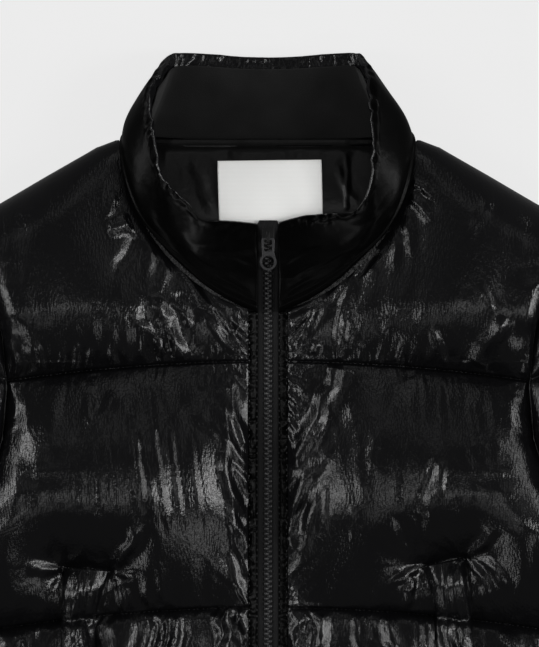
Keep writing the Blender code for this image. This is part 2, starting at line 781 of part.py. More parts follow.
def make_slider(maker):
    """Upper plate with side flanges over the chain, and the lug that holds the pull."""
    plate = ZIP_HEIGHT + GAP + CHAIN_THICK + GAP
    low, inside = ZIP_HEIGHT + GAP, plate + PLATE_THICK / 2.0
    top_drop, end_drop = ZIP_TOP_DROP, ZIP_TOP_DROP + SLIDER_LENGTH
    slider = maker.box("zip_slider", (-SLIDER_HALF, top_drop, plate),
                       (SLIDER_HALF, end_drop, plate + PLATE_THICK), "pull")
    pieces = [((start, top_drop + 1.0, low), (end, end_drop - 1.0, inside))
              for start, end in ((-SLIDER_HALF, -FLANGE_IN), (FLANGE_IN, SLIDER_HALF))]
    under, over = (PIVOT_HEIGHT + rise for rise in LUG_BRIDGE)
    for start, end in (LUG_BEFORE, LUG_AFTER):
        pieces.append(((-LUG_HALF, PIVOT_DROP + start, inside),
                       (LUG_HALF, PIVOT_DROP + end, (under + over) / 2.0)))
    pieces.append(((-LUG_HALF, PIVOT_DROP + LUG_BEFORE[0], under),
                   (LUG_HALF, PIVOT_DROP + LUG_AFTER[1], over)))
    for index, (start, end) in enumerate(pieces):
        part = maker.box("lug_%d" % index, start, end, "pull")
        bpy.context.view_layer.update()
        join_into(slider, part)
    slider.data.name = "zip_slider"


def ring_points(radius, count, start, turn):
    """Points round the tab's ring, from its lowest one."""
    return [(radius * math.sin(start + turn * i / count),
             RING_CENTRE - radius * math.cos(start + turn * i / count))
            for i in range(count)]


def add_outline(curve, points):
    spline = curve.splines.new("POLY")
    spline.points.add(len(points) - 1)
    for target, (x, y) in zip(spline.points, points):
        target.co = (x * MM, y * MM, 0.0, 1.0)
    spline.use_cyclic_u = True


def make_pull(maker):
    """Flat pull tab: a slotted neck that ends in a ring; its origin is on the hinge line."""
    curve = bpy.data.curves.new("zip_pull", "CURVE")
    curve.dimensions = "2D"
    curve.fill_mode = "BOTH"
    curve.extrude = TAB_THICK / 2.0 * MM
    add_outline(curve, ring_points(RING_OUTER, 21, -RING_TURN / 2.0, RING_TURN) + list(TAB_NECK))
    add_outline(curve, TAB_SLOT)
    add_outline(curve, ring_points(RING_INNER, 18, 0.0, math.tau))
    flat = bpy.data.objects.new("pull_outline", curve)
    maker.group.objects.link(flat)
    bpy.context.view_layer.update()
    mesh = bpy.data.meshes.new_from_object(
        flat.evaluated_get(bpy.context.evaluated_depsgraph_get()))
    bpy.data.objects.remove(flat, do_unlink=True)
    shape = bmesh.new()
    shape.from_mesh(mesh)
    bmesh.ops.remove_doubles(shape, verts=shape.verts[:], dist=0.00001)
    shape.to_mesh(mesh)
    shape.free()
    pull = maker.place("zip_pull", mesh, "pull")
    pull.location = world(0.0, PIVOT_DROP, PIVOT_HEIGHT)
    pull.rotation_euler = (TAB_TILT, 0.0, 0.0)


# ---------------------------------------------------------------- jacket

def main():
    clear_scene()
    maker = Maker(make_collection("puffer_jacket"), make_materials())
    make_back(maker)
    make_fronts(maker)
    make_sleeves(maker)
    make_collar(maker)
    make_lining_and_label(maker)
    make_pocket_welts(maker)
    make_zip(maker)


main()
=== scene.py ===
"""Looks of a quilted puffer jacket that lies flat on its back.

Plan lengths are in millimetres: x across, drop down from the point where shoulder and
neck meet, z up from the floor.  world() turns them to metres.
"""

import math

import bmesh
import bpy
import numpy as np
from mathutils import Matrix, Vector

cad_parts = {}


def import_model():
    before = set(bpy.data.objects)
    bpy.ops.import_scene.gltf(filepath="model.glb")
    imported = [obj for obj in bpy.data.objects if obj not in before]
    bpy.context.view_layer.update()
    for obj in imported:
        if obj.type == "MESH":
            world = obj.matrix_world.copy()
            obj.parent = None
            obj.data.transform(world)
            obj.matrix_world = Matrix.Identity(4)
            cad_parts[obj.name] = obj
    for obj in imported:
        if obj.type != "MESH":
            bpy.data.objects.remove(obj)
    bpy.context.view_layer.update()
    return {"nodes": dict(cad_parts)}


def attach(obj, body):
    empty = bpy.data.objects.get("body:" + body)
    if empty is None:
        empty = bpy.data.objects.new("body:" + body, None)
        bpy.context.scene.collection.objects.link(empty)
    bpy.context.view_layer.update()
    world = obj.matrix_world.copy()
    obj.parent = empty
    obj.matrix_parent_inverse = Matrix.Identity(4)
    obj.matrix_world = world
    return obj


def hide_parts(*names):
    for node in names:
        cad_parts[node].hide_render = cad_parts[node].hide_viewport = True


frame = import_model()

MM = 0.001
FAR = 1.0e9
SIDES = ((-1, "left"), (1, "right"))

# Plan of the body: its length, the quilt lines and their bow, the neck and the armhole
NECK_POINT_Y = 294.75
BODY_LENGTH = 655.0
QUILT_DROPS = (169.0, 357.0, 545.0)
QUILT_BOW, BOW_AT = 16.0, 205.0
NECK_HALF_WIDTH, NECK_DEPTH, NECK_ROUNDNESS = 114.0, 131.0, 1.75
SHOULDER_DROP, UNDERARM_DROP = 68.0, 320.0

# Heights: where fronts and back meet at the rim and in the middle, seam lines, puff tops
RIM, SEAM, CREST, MIDDLE = 24.0, 50.0, 90.0, 34.0
QUILT_DEPTH = 3.0
BACK_QUILT_DEPTH = 7.0
WALL, GAP = 3.0, 0.3
BACK_NECK_SINK, BACK_NECK_DROP = 20.0, 3.5
# How far in from the rim the outside and the meeting layer go on rising, and how far from
# a seam gathers are held back
RIM_REACH, MIDDLE_REACH, CALM_REACH = 34.0, 60.0, 14.0

# The strips beside the zip, and the zip's height and ends
STRIP_INNER, STRIP_OUTER = 8.4, 14.8
ZIP_HEIGHT, ZIP_TOP_DROP, ZIP_END_DROP = 46.0, 67.0, 648.0

# Cloth of the fronts: spare across and along its seams, filling pressure, solver frames,
# and the share of the drawn form that stays in the yoke and below it
CLOTH_SPARE, CLOTH_PRESSURE, CLOTH_FRAMES = (0.06, 0.012), 4.0, 16
YOKE_DRAWN, CHEST_DRAWN = 0.7, 0.3

# (drop, half width) of the body
BODY_OUTLINE = ((0, 117), (2.3, 123), (5.3, 131), (14.4, 147), (27, 169), (47.5, 204),
                (68, 240), (90, 225), (120, 210), (150, 202), (190, 199), (230, 202),
                (262, 214), (290, 238), (308, 270), (320, 305), (400, 302), (500, 299),
                (600, 297), (655, 293))
# Sleeves: their slant, quilt lines and end along that slant, and both edges as (x, drop)
SLEEVE_ANGLE = math.radians(68.3)
SLEEVE_QUILTS = (244.0, 432.0, 620.0)
SLEEVE_END = 730.0
SLEEVE_OUTER = ((243.5, 66.6), (300, 103), (358, 150), (410, 215), (450, 295), (484, 385),
                (514, 480), (540, 572))
SLEEVE_INNER = ((305, 320), (330, 352), (356, 400), (382, 455), (405, 505), (427, 555),
                (448, 610))


# ------------------------------------------------------------------ numbers to shapes

def world(x, drop, z):
    """Plan arrays to an array of points in metres."""
    x, drop, z = np.broadcast_arrays(np.asarray(x, float), drop, z)
    return np.stack([x, NECK_POINT_Y - drop, z], axis=-1) * MM


def rounded(share):
    """0 at a seam, rising like the side of a cushion to 1."""
    share = np.clip(share, 0.0, 1.0)
    return np.sqrt(share * (2.0 - share))


def smooth(share):
    """0 to 1 with a level start and end."""
    share = np.clip(share, 0.0, 1.0)
    return share * share * (3.0 - 2.0 * share)


def swell(away, reach):
    """0 at a seam, 1 at reach, then dying away."""
    return (away / reach) * np.exp(1.0 - away / reach)


def distance(x, drop, *paths):
    """Shortest plan distance from each point to any of the paths."""
    nearest = np.full(np.shape(x), FAR)
    for path in paths:
        for (ax, ay), (bx, by) in zip(path, path[1:]):
            run_x, run_y = bx - ax, by - ay
            share = ((x - ax) * run_x + (drop - ay) * run_y) / (run_x ** 2 + run_y ** 2)
            share = np.clip(share, 0.0, 1.0)
            gap = (ax + run_x * share - x) ** 2 + (ay + run_y * share - drop) ** 2
            nearest = np.minimum(nearest, gap)
    return np.sqrt(nearest)


LAYERS, CELLS = 8, 256
LATTICE = np.random.default_rng(41).uniform(-1.0, 1.0, (LAYERS, CELLS, CELLS))
FOLD_SOFTNESS = 0.012
CREASE_WIDER, CREASE_HIGHER, STEEPEST = 1.6, 1.1, 0.6


def noise(x, y, layer):
    """Smooth random waves from -1 to 1, about one cell a unit."""
    x, y = np.broadcast_arrays(np.asarray(x, float), np.asarray(y, float))
    table = LATTICE[layer % LAYERS]
    x, y = x + 57.3 * layer, y + 31.7 * layer
    column, row = np.floor(x).astype(int), np.floor(y).astype(int)
    u, v = smooth(x - column), smooth(y - row)
    a = table[row % CELLS, column % CELLS]
    b = table[row % CELLS, (column + 1) % CELLS]
    c = table[(row + 1) % CELLS, column % CELLS]
    d = table[(row + 1) % CELLS, (column + 1) % CELLS]
    return (a * (1 - u) + b * u) * (1 - v) + (c * (1 - u) + d * u) * v


def ridges(x, y, layer):
    """Folds with rounded valleys and sharper tops, from -1 to 1."""
    return 1.0 - 2.0 * np.sqrt(noise(x, y, layer) ** 2 + FOLD_SOFTNESS)


def crease(x, drop, path, width, height, ends, valley):
    """One fold drawn along a path: a ridge, with a valley on one side where valley is over
    0.  It fades out over a share of its length at both ends, and its height is at most
    STEEPEST times its width."""
    path = np.asarray(path, float)
    runs = np.hypot(*np.diff(path, axis=0).T)
    total = runs.sum()
    width = CREASE_WIDER * width
    height = math.copysign(min(CREASE_HIGHER * abs(height), STEEPEST * width), height)
    reach = 4.0 * width
    near = ((x > path[:, 0].min() - reach) & (x < path[:, 0].max() + reach)
            & (drop > path[:, 1].min() - reach) & (drop < path[:, 1].max() + reach))
    out = np.zeros(np.shape(x))
    if not near.any():
        return out
    px, py = x[near], drop[near]
    best = np.full(px.shape, FAR)
    side, place = np.zeros(px.shape), np.zeros(px.shape)
    done = 0.0
    for (ax, ay), (bx, by), run in zip(path, path[1:], runs):
        ux, uy = (bx - ax) / run, (by - ay) / run
        free = (px - ax) * ux + (py - ay) * uy
        held = np.clip(free, 0.0, run)
        gap = np.hypot(ax + ux * held - px, ay + uy * held - py)
        closer = gap < best
        best = np.where(closer, gap, best)
        turn = np.sign((px - ax) * uy - (py - ay) * ux)
        side = np.where(closer, gap * turn, side)
        place = np.where(closer, (done + held) / total, place)
        done += run
    fade = smooth(place / max(ends[0], 1e-3)) * smooth((1.0 - place) / max(ends[1], 1e-3))
    side = side + width * 0.35 * noise(place * total / 14.0, 0.0, 3)
    # a roof of two nearly flat sides, softened at its top and feet
    flat = 1.05 - np.sqrt((side / width) ** 2 + FOLD_SOFTNESS)
    ridge = 0.5 * (flat + np.sqrt(flat ** 2 + FOLD_SOFTNESS))
    trough = np.exp(-((side - 1.7 * width) / (0.9 * width)) ** 2)
    out[near] = height * fade * (ridge - 0.45 * valley * trough)
    return out


def read(table, at):
    """Straight-line reading of (key, value) rows."""
    table = np.asarray(table, float)
    return np.interp(at, table[:, 0], table[:, 1])


def cells(index, closed_across=False):
    """Four-sided faces between the rows and columns of a grid of point numbers."""
    ahead = np.roll(index, -1, axis=1) if closed_across else index[:, 1:]
    here = index if closed_across else index[:, :-1]
    return np.stack([here[:-1], here[1:], ahead[1:], ahead[:-1]], axis=-1).reshape(-1, 4)


def border(index):
    """Point numbers once round the grid's edge."""
    return np.concatenate([index[0, :-1], index[:-1, -1], index[-1, :0:-1], index[:0:-1, 0]])


def grid_mesh(name, top, under=None, coarser=1, closed_across=False):
    """A mesh through a grid of points; an under layer over the same outline closes it,
    with only every coarser-th point inside."""
    rows, columns = top.shape[:2]
    index = np.arange(rows * columns).reshape(rows, columns)
    points = [top.reshape(-1, 3)]
    faces = cells(index, closed_across).tolist()
    if under is not None:
        small = under[::coarser, ::coarser]
        low = np.arange(small.shape[0] * small.shape[1]).reshape(small.shape[:2]) + rows * columns
        points.append(small.reshape(-1, 3))
        faces += cells(low)[:, ::-1].tolist()
        row, column = (np.minimum((np.arange(count) + coarser // 2) // coarser, most - 1)
                       for count, most in zip((rows, columns), low.shape))
        rim, foot = border(index).tolist(), border(low[row][:, column]).tolist()
        for here, after, down, down_after in zip(rim, rim[1:] + rim[:1], foot,
                                                 foot[1:] + foot[:1]):
            faces.append([here, after, down])
            if down != down_after:
                faces.append([after, down_after, down])
    mesh = bpy.data.meshes.new(name)
    mesh.from_pydata([tuple(p) for p in np.concatenate(points).tolist()], [], faces)
    mesh.shade_smooth()
    return placed(name, mesh)


def placed(name, data):
    """An object in the scene for a mesh, curve, lamp or camera."""
    item = bpy.data.objects.new(name, data)
    bpy.context.scene.collection.objects.link(item)
    return item


def mesh_of(shape, name):
    """A smooth mesh made from a bmesh, which is used up."""
    mesh = bpy.data.meshes.new(name)
    shape.to_mesh(mesh)
    shape.free()
    mesh.shade_smooth()
    return mesh


def tidy_mesh(item, merge=1.0e-6):
    """Merges doubled points and turns every face outwards."""
    shape = bmesh.new()
    shape.from_mesh(item.data)
    bmesh.ops.remove_doubles(shape, verts=shape.verts[:], dist=merge)
    bmesh.ops.recalc_face_normals(shape, faces=shape.faces[:])
    shape.to_mesh(item.data)
    shape.free()
    item.data.shade_smooth()
    return item


# ------------------------------------------------------------------ outlines of the cut

def half_width(drop):
    return read(BODY_OUTLINE, drop)


def neck_half_width(drop):
    share = np.clip(np.asarray(drop, float) / NECK_DEPTH, 0.0, 1.0)
    return NECK_HALF_WIDTH * (1.0 - share ** NECK_ROUNDNESS) ** (1.0 / NECK_ROUNDNESS)


def bowed(x, drop):
    """Drop of a point x across on the row that crosses the middle at drop."""
    room = np.minimum(np.minimum(drop / QUILT_DROPS[0],
                                 (BODY_LENGTH - drop) / (BODY_LENGTH - QUILT_DROPS[-1])), 1.0)
    return drop + QUILT_BOW * room * np.minimum(np.abs(x) / BOW_AT, 1.4) ** 2


def row_end(drop):
    """Half width at which a bowed row meets the outline."""
    outer = half_width(drop)
    for _ in range(16):
        outer = 0.5 * (outer + half_width(np.minimum(bowed(outer, drop), BODY_LENGTH)))
    return outer


def body_seams():
    """The right half's seams as paths of (x, drop)."""
    shoulder = [(float(half_width(d)), d) for d in np.linspace(0, SHOULDER_DROP, 15)]
    armhole = []
    for drop in np.linspace(60.2, 288.6, 30):
        x = row_end(drop)
        armhole.append((float(x), float(bowed(x, drop))))
    side = [(float(half_width(d)), d) for d in np.linspace(UNDERARM_DROP, BODY_LENGTH, 9)]
    hem = [(0.0, BODY_LENGTH), (float(half_width(BODY_LENGTH)), BODY_LENGTH)]
    neck = [(float(neck_half_width(d)), d)
            for d in NECK_DEPTH * np.sin(np.linspace(0, math.pi / 2, 24))]
    edge = [(STRIP_OUTER, NECK_DEPTH), (STRIP_OUTER, BODY_LENGTH)]
    quilts = [[(x, float(bowed(x, drop))) for x in np.linspace(0, 310, 17)]
              for drop in QUILT_DROPS]
    return {"shoulder": shoulder, "armhole": armhole, "side": side, "hem": hem,
            "neck": neck, "edge": edge, "quilts": quilts}


SEAMS = body_seams()


def middle_height(x, drop):
    """Height at which the fronts lie on the back."""
    rim = distance(np.abs(x), drop, SEAMS["shoulder"], SEAMS["side"], SEAMS["hem"])
    neck = distance(x, drop, [(-104.0, 0.0), (104.0, 0.0)])
    return (MIDDLE - (MIDDLE - RIM) * (1.0 - rounded(rim / MIDDLE_REACH))
            - BACK_NECK_SINK * (1.0 - rounded(neck / MIDDLE_REACH)))


# ------------------------------------------------------------------ fronts

# Top edge of each pocket welt, then its two long edges, as (x, drop)
WELT_TOP = {-1: ((-155.0, 324.5), (-120.0, 328.0)), 1: ((117.0, 324.5), (150.0, 318.0))}
WELT_OUT = {-1: ((-155.0, 324.5), (-157.0, 350.0), (-158.0, 386.0), (-160.0, 496.0)),
            1: ((150.0, 318.0), (152.0, 344.0), (157.0, 386.0), (165.0, 496.0))}
WELT_IN = {-1: ((-120.0, 328.0), (-131.0, 362.0), (-131.5, 386.0), (-132.0, 496.0)),
           1: ((117.0, 324.5), (127.0, 358.0), (128.0, 386.0), (137.0, 496.0))}

# Drawn folds: path in (x, drop), width, height, fade at each end, valley
LEFT_FOLDS = (
    # from the collar point down to the zip: the sharpest one
    ([(-69.2, 95), (-47.9, 124.6), (-28.9, 151.2), (-14.4, 168)], 1.9, 4.4, (0.08, 0.1), 1.5),
    # bright bent facets left of it
    ([(-85.9, 119.3), (-79.8, 139.1), (-69.9, 156.6), (-61.6, 170.2)], 4.2, 4.4, (0.15, 0.12),
      0.9),
    ([(-98, 134.5), (-87.4, 151.2), (-74.5, 165.7)], 3.4, 2.8, (0.3, 0.2), 0.8),
    ([(-76.8, 120.1), (-66.1, 130.7), (-57.8, 143.6)], 2.8, 2.4, (0.25, 0.3), 0.7),
    ([(-51.7, 130), (-39.5, 146.7), (-22.8, 164.9)], 2.6, 2.2, (0.3, 0.2), 0.6),
    # hollow below the collar's side, and the pillow above it
    ([(-100, 70), (-108, 87), (-117.8, 108.7)], 3.6, -2.6, (0.2, 0.4), 0),
    ([(-124, 69), (-113, 67.5), (-103, 64)], 4.6, 3.6, (0.3, 0.2), 0),
    ([(-114, 35.7), (-120.1, 50), (-123.1, 64)], 2.6, 1.4, (0.4, 0.3), 0.5),
    ([(-91.2, 73.7), (-89.7, 93.5), (-92.7, 114.8)], 3, 1.6, (0.2, 0.5), 0.8),
    ([(-82.1, 84.4), (-79.8, 103.4), (-82.1, 122.4)], 3, 1.4, (0.2, 0.5), 0.6),
    # short drag folds at the zip's top
    ([(-29.6, 136), (-22.8, 142.1), (-14.4, 151.2)], 1.8, 2.6, (0.3, 0.1), 0.8),
    ([(-26.6, 145.2), (-20.5, 152), (-13.7, 159.6)], 1.6, 2, (0.3, 0.1), 0.8),
    ([(-24.3, 122.4), (-19, 126.2), (-13.7, 131.5)], 1.6, 1.6, (0.3, 0.1), 0.6),
    # long drag folds beside the zip
    ([(-30.4, 178.6), (-28.1, 198.4), (-22.8, 217.4), (-15.2, 236.4)], 2.6, 3.4, (0.25, 0.1), 0.9),
    ([(-35, 199.9), (-30.4, 222.7), (-23.6, 240.2), (-14.4, 251.6)], 2.4, 3, (0.3, 0.1), 0.8),
    ([(-28.1, 246.2), (-22, 255.4), (-14.4, 264.5)], 2, 2.4, (0.3, 0.1), 0.8),
    ([(-35.7, 221.2), (-31.2, 255.4), (-24.3, 289.6), (-14.4, 320.7)], 3.2, 3.4, (0.3, 0.08), 0.8),
    ([(-28.1, 264.5), (-22, 280.4), (-14.4, 295.6)], 2, 2.4, (0.3, 0.1), 0.8),
    ([(-31.9, 279.7), (-24.3, 306.3), (-14.4, 333.6)], 2.6, 3.2, (0.3, 0.08), 0.8),
    ([(-30.4, 310.8), (-23.6, 335.2), (-14.4, 356.4)], 2.4, 2.8, (0.3, 0.08), 0.8),
    ([(-24.3, 342.8), (-19, 350.4), (-13.7, 358)], 1.8, 1.8, (0.3, 0.1), 0.6),
    # thin creases down the chest
    ([(-124.6, 221.2), (-120.1, 246.2), (-115.5, 271.3)], 1.1, 0.9, (0.3, 0.3), 0.7),
    ([(-107.2, 196.8), (-102.6, 236.4), (-97.3, 275.9)], 1.1, 1.2, (0.2, 0.25), 0.8),
    ([(-88.9, 204.4), (-81.3, 257.6), (-73, 306.3)], 1.2, 1.4, (0.2, 0.2), 0.8),
    ([(-75.2, 216.6), (-69.2, 259.2), (-63.1, 301.7)], 1.2, 1.3, (0.2, 0.2), 0.8),
    ([(-59.3, 221.2), (-54.7, 259.2), (-48.6, 301)], 1.2, 0.9, (0.3, 0.3), 0.7),
    ([(-98, 213.6), (-92.7, 251.6), (-85.1, 293.4)], 3.2, 1.6, (0.25, 0.3), 0.6),
    ([(-117, 189.2), (-123.1, 206), (-133.8, 222.7)], 4, 1.8, (0.3, 0.3), 0.6),
    # broad bright facets of the chest
    ([(-90, 205), (-86, 250), (-78, 300)], 7.5, 2.5, (0.3, 0.3), 0),
    ([(-36, 188), (-32, 232), (-25, 300)], 5.0, 1.6, (0.3, 0.3), 0),
    # gathers standing on the first quilt seam
    ([(-193.8, 157.3), (-191.5, 168), (-193, 180.1)], 1.9, 3.8, (0.4, 0.1), 0.8),
    ([(-176.3, 152.8), (-174, 164.9), (-171, 178.6)], 2.1, 4.5, (0.35, 0.1), 0.9),
    ([(-155, 157.3), (-157.3, 168), (-158.8, 178.6)], 1.9, 3.8, (0.4, 0.1), 0.8),
    ([(-144.4, 152.8), (-145.9, 164.2), (-147.4, 177.1)], 1.9, 4.5, (0.35, 0.1), 0.8),
    ([(-133.8, 155.8), (-136, 164.9), (-138.3, 175.6)], 1.7, 3.5, (0.4, 0.1), 0.8),
    ([(-118.6, 157.3), (-119.3, 166.4), (-117.8, 175.6)], 1.9, 2.9, (0.4, 0.1), 0.7),
    # folds at the pocket's corners
    ([(-97.3, 289.6), (-104.9, 309.3), (-119.3, 328.3)], 3.4, 4.4, (0.3, 0.06), 0.9),
    ([(-161.1, 289.6), (-158.1, 308.6), (-155.8, 324.5)], 3, 2, (0.4, 0.1), 0.6),
    ([(-185.4, 324.5), (-171.8, 327.6), (-156.6, 326)], 4, 3.6, (0.3, 0.1), 0.4),
    ([(-114, 335.2), (-111, 350.4), (-107.9, 362.5)], 3, 3, (0.2, 0.1), 0.8),
    ([(-118.6, 330.6), (-111, 336.7), (-98.8, 339)], 3, 2.4, (0.1, 0.4), 0.7),
    # below the second quilt seam
    ([(-88.2, 367.1), (-92, 380.8), (-96.5, 397.5)], 3.2, 3, (0.15, 0.4), 0.8),
    ([(-69.9, 362.5), (-72.2, 380.8), (-73.7, 402)], 3, 3, (0.1, 0.4), 0.8),
    ([(-41, 359.5), (-37.2, 377.7), (-33.4, 397.5)], 3, 3, (0.1, 0.4), 0.8),
    ([(-22.8, 358.7), (-19, 373.2), (-14.4, 388.4)], 3, 3, (0.1, 0.3), 0.8),
    ([(-188.5, 374.7), (-185.4, 384.6), (-187, 399)], 3, 2.2, (0.2, 0.4), 0.7),
)
RIGHT_FOLDS = (
    # from the neck down to the first quilt seam: the sharpest pair
    ([(80.6, 81.3), (71.4, 92), (63.8, 104.9), (58.5, 120.1), (54, 137.6), (51.7, 152.8), (52.4,
      169.5)], 1.9, 4.6, (0.03, 0.03), 1.6),
    ([(68.4, 101.8), (65.4, 114.8), (60.8, 127.7), (58.5, 140.6)], 1.6, 3, (0.2, 0.25), 0.9),
    ([(63.8, 143.6), (60, 156.6), (55.5, 168.7)], 1.8, 2.4, (0.3, 0.1), 0.7),
    ([(61.6, 95), (54.7, 108.7), (44.8, 126.2)], 2.0, 4.6, (0.08, 0.12), 1.2),
    ([(37.2, 123.1), (28.1, 139.1), (13.7, 157.3)], 2, 4.4, (0.15, 0.1), 1),
    ([(31.9, 140.6), (23.6, 152), (15.2, 162.6)], 1.8, 2.2, (0.3, 0.1), 0.8),
    ([(41.8, 115.5), (28.1, 126.2), (12.9, 135.3)], 2.4, 2.4, (0.3, 0.1), 0.8),
    ([(26.6, 152), (21.3, 160.4), (15.2, 168.7)], 2.2, 2.8, (0.3, 0.1), 0.8),
    ([(38, 152.8), (35, 158.8), (32.7, 164.2)], 3, 2.2, (0.35, 0.3), 0.5),
    # blades and gathers on the first quilt seam
    ([(89.7, 137.6), (86.6, 155.8), (84.4, 172.5)], 1.9, 5.4, (0.35, 0.06), 0.9),
    ([(104.9, 151.2), (99.6, 166.4), (101.1, 177.1), (103.4, 189.2)], 1.7, 3.5, (0.3, 0.3), 0.8),
    ([(122.4, 142.1), (128.4, 155.8), (133.8, 170.2)], 2.3, 4.8, (0.35, 0.08), 0.9),
    ([(180.9, 133), (169.5, 151.2), (157.3, 173.3)], 5.2, 5.8, (0.3, 0.1), 0.8),
    ([(199.1, 160.4), (196.8, 169.5), (194.6, 180.1)], 2.3, 3.5, (0.4, 0.1), 0.7),
    ([(71.4, 152.8), (69.9, 161.9), (69.2, 171.8)], 1.7, 3.2, (0.4, 0.1), 0.7),
    # at the collar
    ([(108.7, 32.7), (117.8, 38), (124.6, 46.4)], 2.4, 2.8, (0.15, 0.4), 0.7),
    ([(107.2, 43.3), (115.5, 51.7), (123.9, 64.6)], 2.8, 3, (0.15, 0.4), 0.7),
    ([(103.4, 57), (106.4, 76.8), (112.5, 93.5)], 3.2, 1.8, (0.2, 0.5), 0.6),
    ([(95, 67.6), (95.8, 85.9), (98.8, 104.1)], 3, 1.6, (0.2, 0.5), 0.6),
    ([(170.2, 38.8), (161.1, 57.8), (155, 76.8)], 3.6, 1.4, (0.4, 0.4), 0.6),
    ([(159.6, 108.7), (165.7, 122.4), (173.3, 134.5)], 2.6, 1.6, (0.4, 0.4), 0.6),
    # the long facet below the seam, and the hollow right of it
    ([(52.4, 171), (44.1, 193.8), (34.2, 216.6), (25.1, 236.4), (16.7, 250)], 4.4, 5.6, (0.05,
      0.12), 0.9),
    ([(47.1, 240.2), (28.9, 272.8), (17.5, 304.8)], 5, -3.2, (0.3, 0.3), 0),
    ([(28.9, 251.6), (24.3, 268.3), (18.2, 289.6), (13.7, 310.8)], 3.6, 3.4, (0.2, 0.2), 0.6),
    # tight crumples beside the zip
    ([(12.9, 183.2), (20.5, 186.2), (28.9, 192.3)], 1.8, 2.6, (0.1, 0.4), 0.8),
    ([(12.9, 192.3), (19.8, 199.1), (26.6, 209)], 1.8, 3, (0.1, 0.4), 0.9),
    ([(12.9, 200.6), (18.2, 207.5), (23.6, 216.6)], 1.6, 2.6, (0.1, 0.4), 0.9),
    ([(12.9, 210.5), (17.5, 216.6), (22, 224.2)], 1.6, 2.6, (0.1, 0.4), 0.9),
    ([(13.7, 222.7), (16.7, 230.3), (19, 237.9)], 1.6, 2.2, (0.2, 0.4), 0.8),
    ([(13.7, 335.2), (18.2, 350.4), (16.7, 359.5)], 2, 1.6, (0.3, 0.2), 0.7),
    # chest
    ([(44.1, 260.7), (42.6, 283.5), (44.1, 304.8)], 1.2, 1, (0.3, 0.3), 0.7),
    ([(63.8, 274.4), (63.1, 292.6), (64.6, 308.6)], 1.2, 0.9, (0.3, 0.3), 0.7),
    ([(36.5, 259.2), (32.7, 283.5), (25.8, 321.5)], 3, 2, (0.3, 0.3), 0.7),
    ([(82.1, 213.6), (79, 236.4), (80.6, 260.7)], 3.4, 1.2, (0.4, 0.4), 0.6),
    ([(126.2, 240.9), (120.1, 257.6), (116.3, 278.2), (115.5, 316.9)], 2.6, -3, (0.12, 0.15), 0),
    ([(133, 244), (129.2, 259.2), (128.4, 276.6)], 2.6, 2.2, (0.25, 0.4), 0.4),
    ([(96.5, 283.5), (101.8, 298.7), (106.4, 310.8)], 3, -1.8, (0.3, 0.3), 0),
    # at the pocket's corners
    ([(171, 291.1), (164.2, 304), (152, 318.4)], 3, 4.6, (0.2, 0.05), 0.9),
    ([(118.6, 324.5), (106.4, 329.8), (97.3, 336.7), (95.8, 344.3)], 2.6, 3, (0.05, 0.3), 0.6),
    ([(152, 320), (161.1, 332.1), (170.2, 352.6)], 2.4, 3, (0.05, 0.4), 0.9),
    ([(156.6, 318.4), (170.2, 327.6), (185.4, 344.3)], 2.8, 2.4, (0.1, 0.4), 0.8),
    ([(109.4, 331.4), (106.4, 344.3), (107.9, 359.5)], 3, 3.2, (0.2, 0.3), 0.7),
    # below the second quilt seam
    ([(24.3, 362.5), (22, 376.2), (18.2, 396)], 2.8, 3, (0.1, 0.4), 0.8),
    ([(41, 361), (41, 376.2), (40.3, 396)], 3, 2, (0.1, 0.4), 0.7),
    ([(89.7, 362.5), (93.5, 376.2), (98.8, 392.2)], 3, 2.6, (0.1, 0.4), 0.8),
    ([(15.2, 359.5), (12.9, 369.4), (14.4, 384.6)], 2.2, 2.2, (0.2, 0.3), 0.7),
    ([(176.3, 374.7), (183.9, 381.5), (193, 392.9)], 3, 2.6, (0.15, 0.4), 0.8),
)


# Strength of the puckers above and below each quilt line
PUCKERS = ((1.1, 0.9), (0.8, 3.0), (1.4, 1.4))


def quilt_gather(x, drop, side):
    """Puckers that run up and down from each quilt seam, strongest a few mm off it."""
    out = np.zeros(np.shape(x))
    for number, path in enumerate(SEAMS["quilts"]):
        mirrored = [(side * px, pd) for px, pd in path]
        away = distance(x, drop, mirrored)
        below = drop > read([(px, pd) for px, pd in path], np.abs(x))
        for half in (False, True):
            here = below == half
            layer = 2 * number + half + (0 if side < 0 else 3)
            slant = x + 2.5 * noise(away / 9.0, x / 30.0, layer) - 0.10 * side * away
            vary = 0.55 + 0.45 * noise(x / 26.0, 4.0, layer + 1)
            reach = 9.0 + 9.0 * (0.5 + 0.5 * noise(x / 9.0, 9.0, layer + 2))
            reach = reach * (1.9 if half else 1.0)
            fine = ridges(slant / 5.2, away / 40.0, layer) * swell(away, 4.0)
            broad = ridges(slant / 12.0, away / 70.0, layer + 1) * swell(away, reach)
            out += np.where(here, PUCKERS[number][half] * vary * (0.6 * fine + 1.6 * broad), 0.0)
    return out


def quilt_gaps(x, drop):
    """Distances to the quilt seam above and to the one below each point."""
    above, below = np.full(np.shape(x), 1.0e3), np.full(np.shape(x), 1.0e3)
    for path in SEAMS["quilts"]:
        gap = distance(np.abs(x), drop, path)
        under = drop > read(path, np.abs(x))
        above = np.where(under, np.minimum(above, gap), above)
        below = np.where(under, below, np.minimum(below, gap))
    return above, below


def dome(gap, reach, power):
    """Rises from a seam less steeply than a cushion's side."""
    return np.sin(np.clip(gap / reach, 0.0, 1.0) * math.pi / 2) ** power


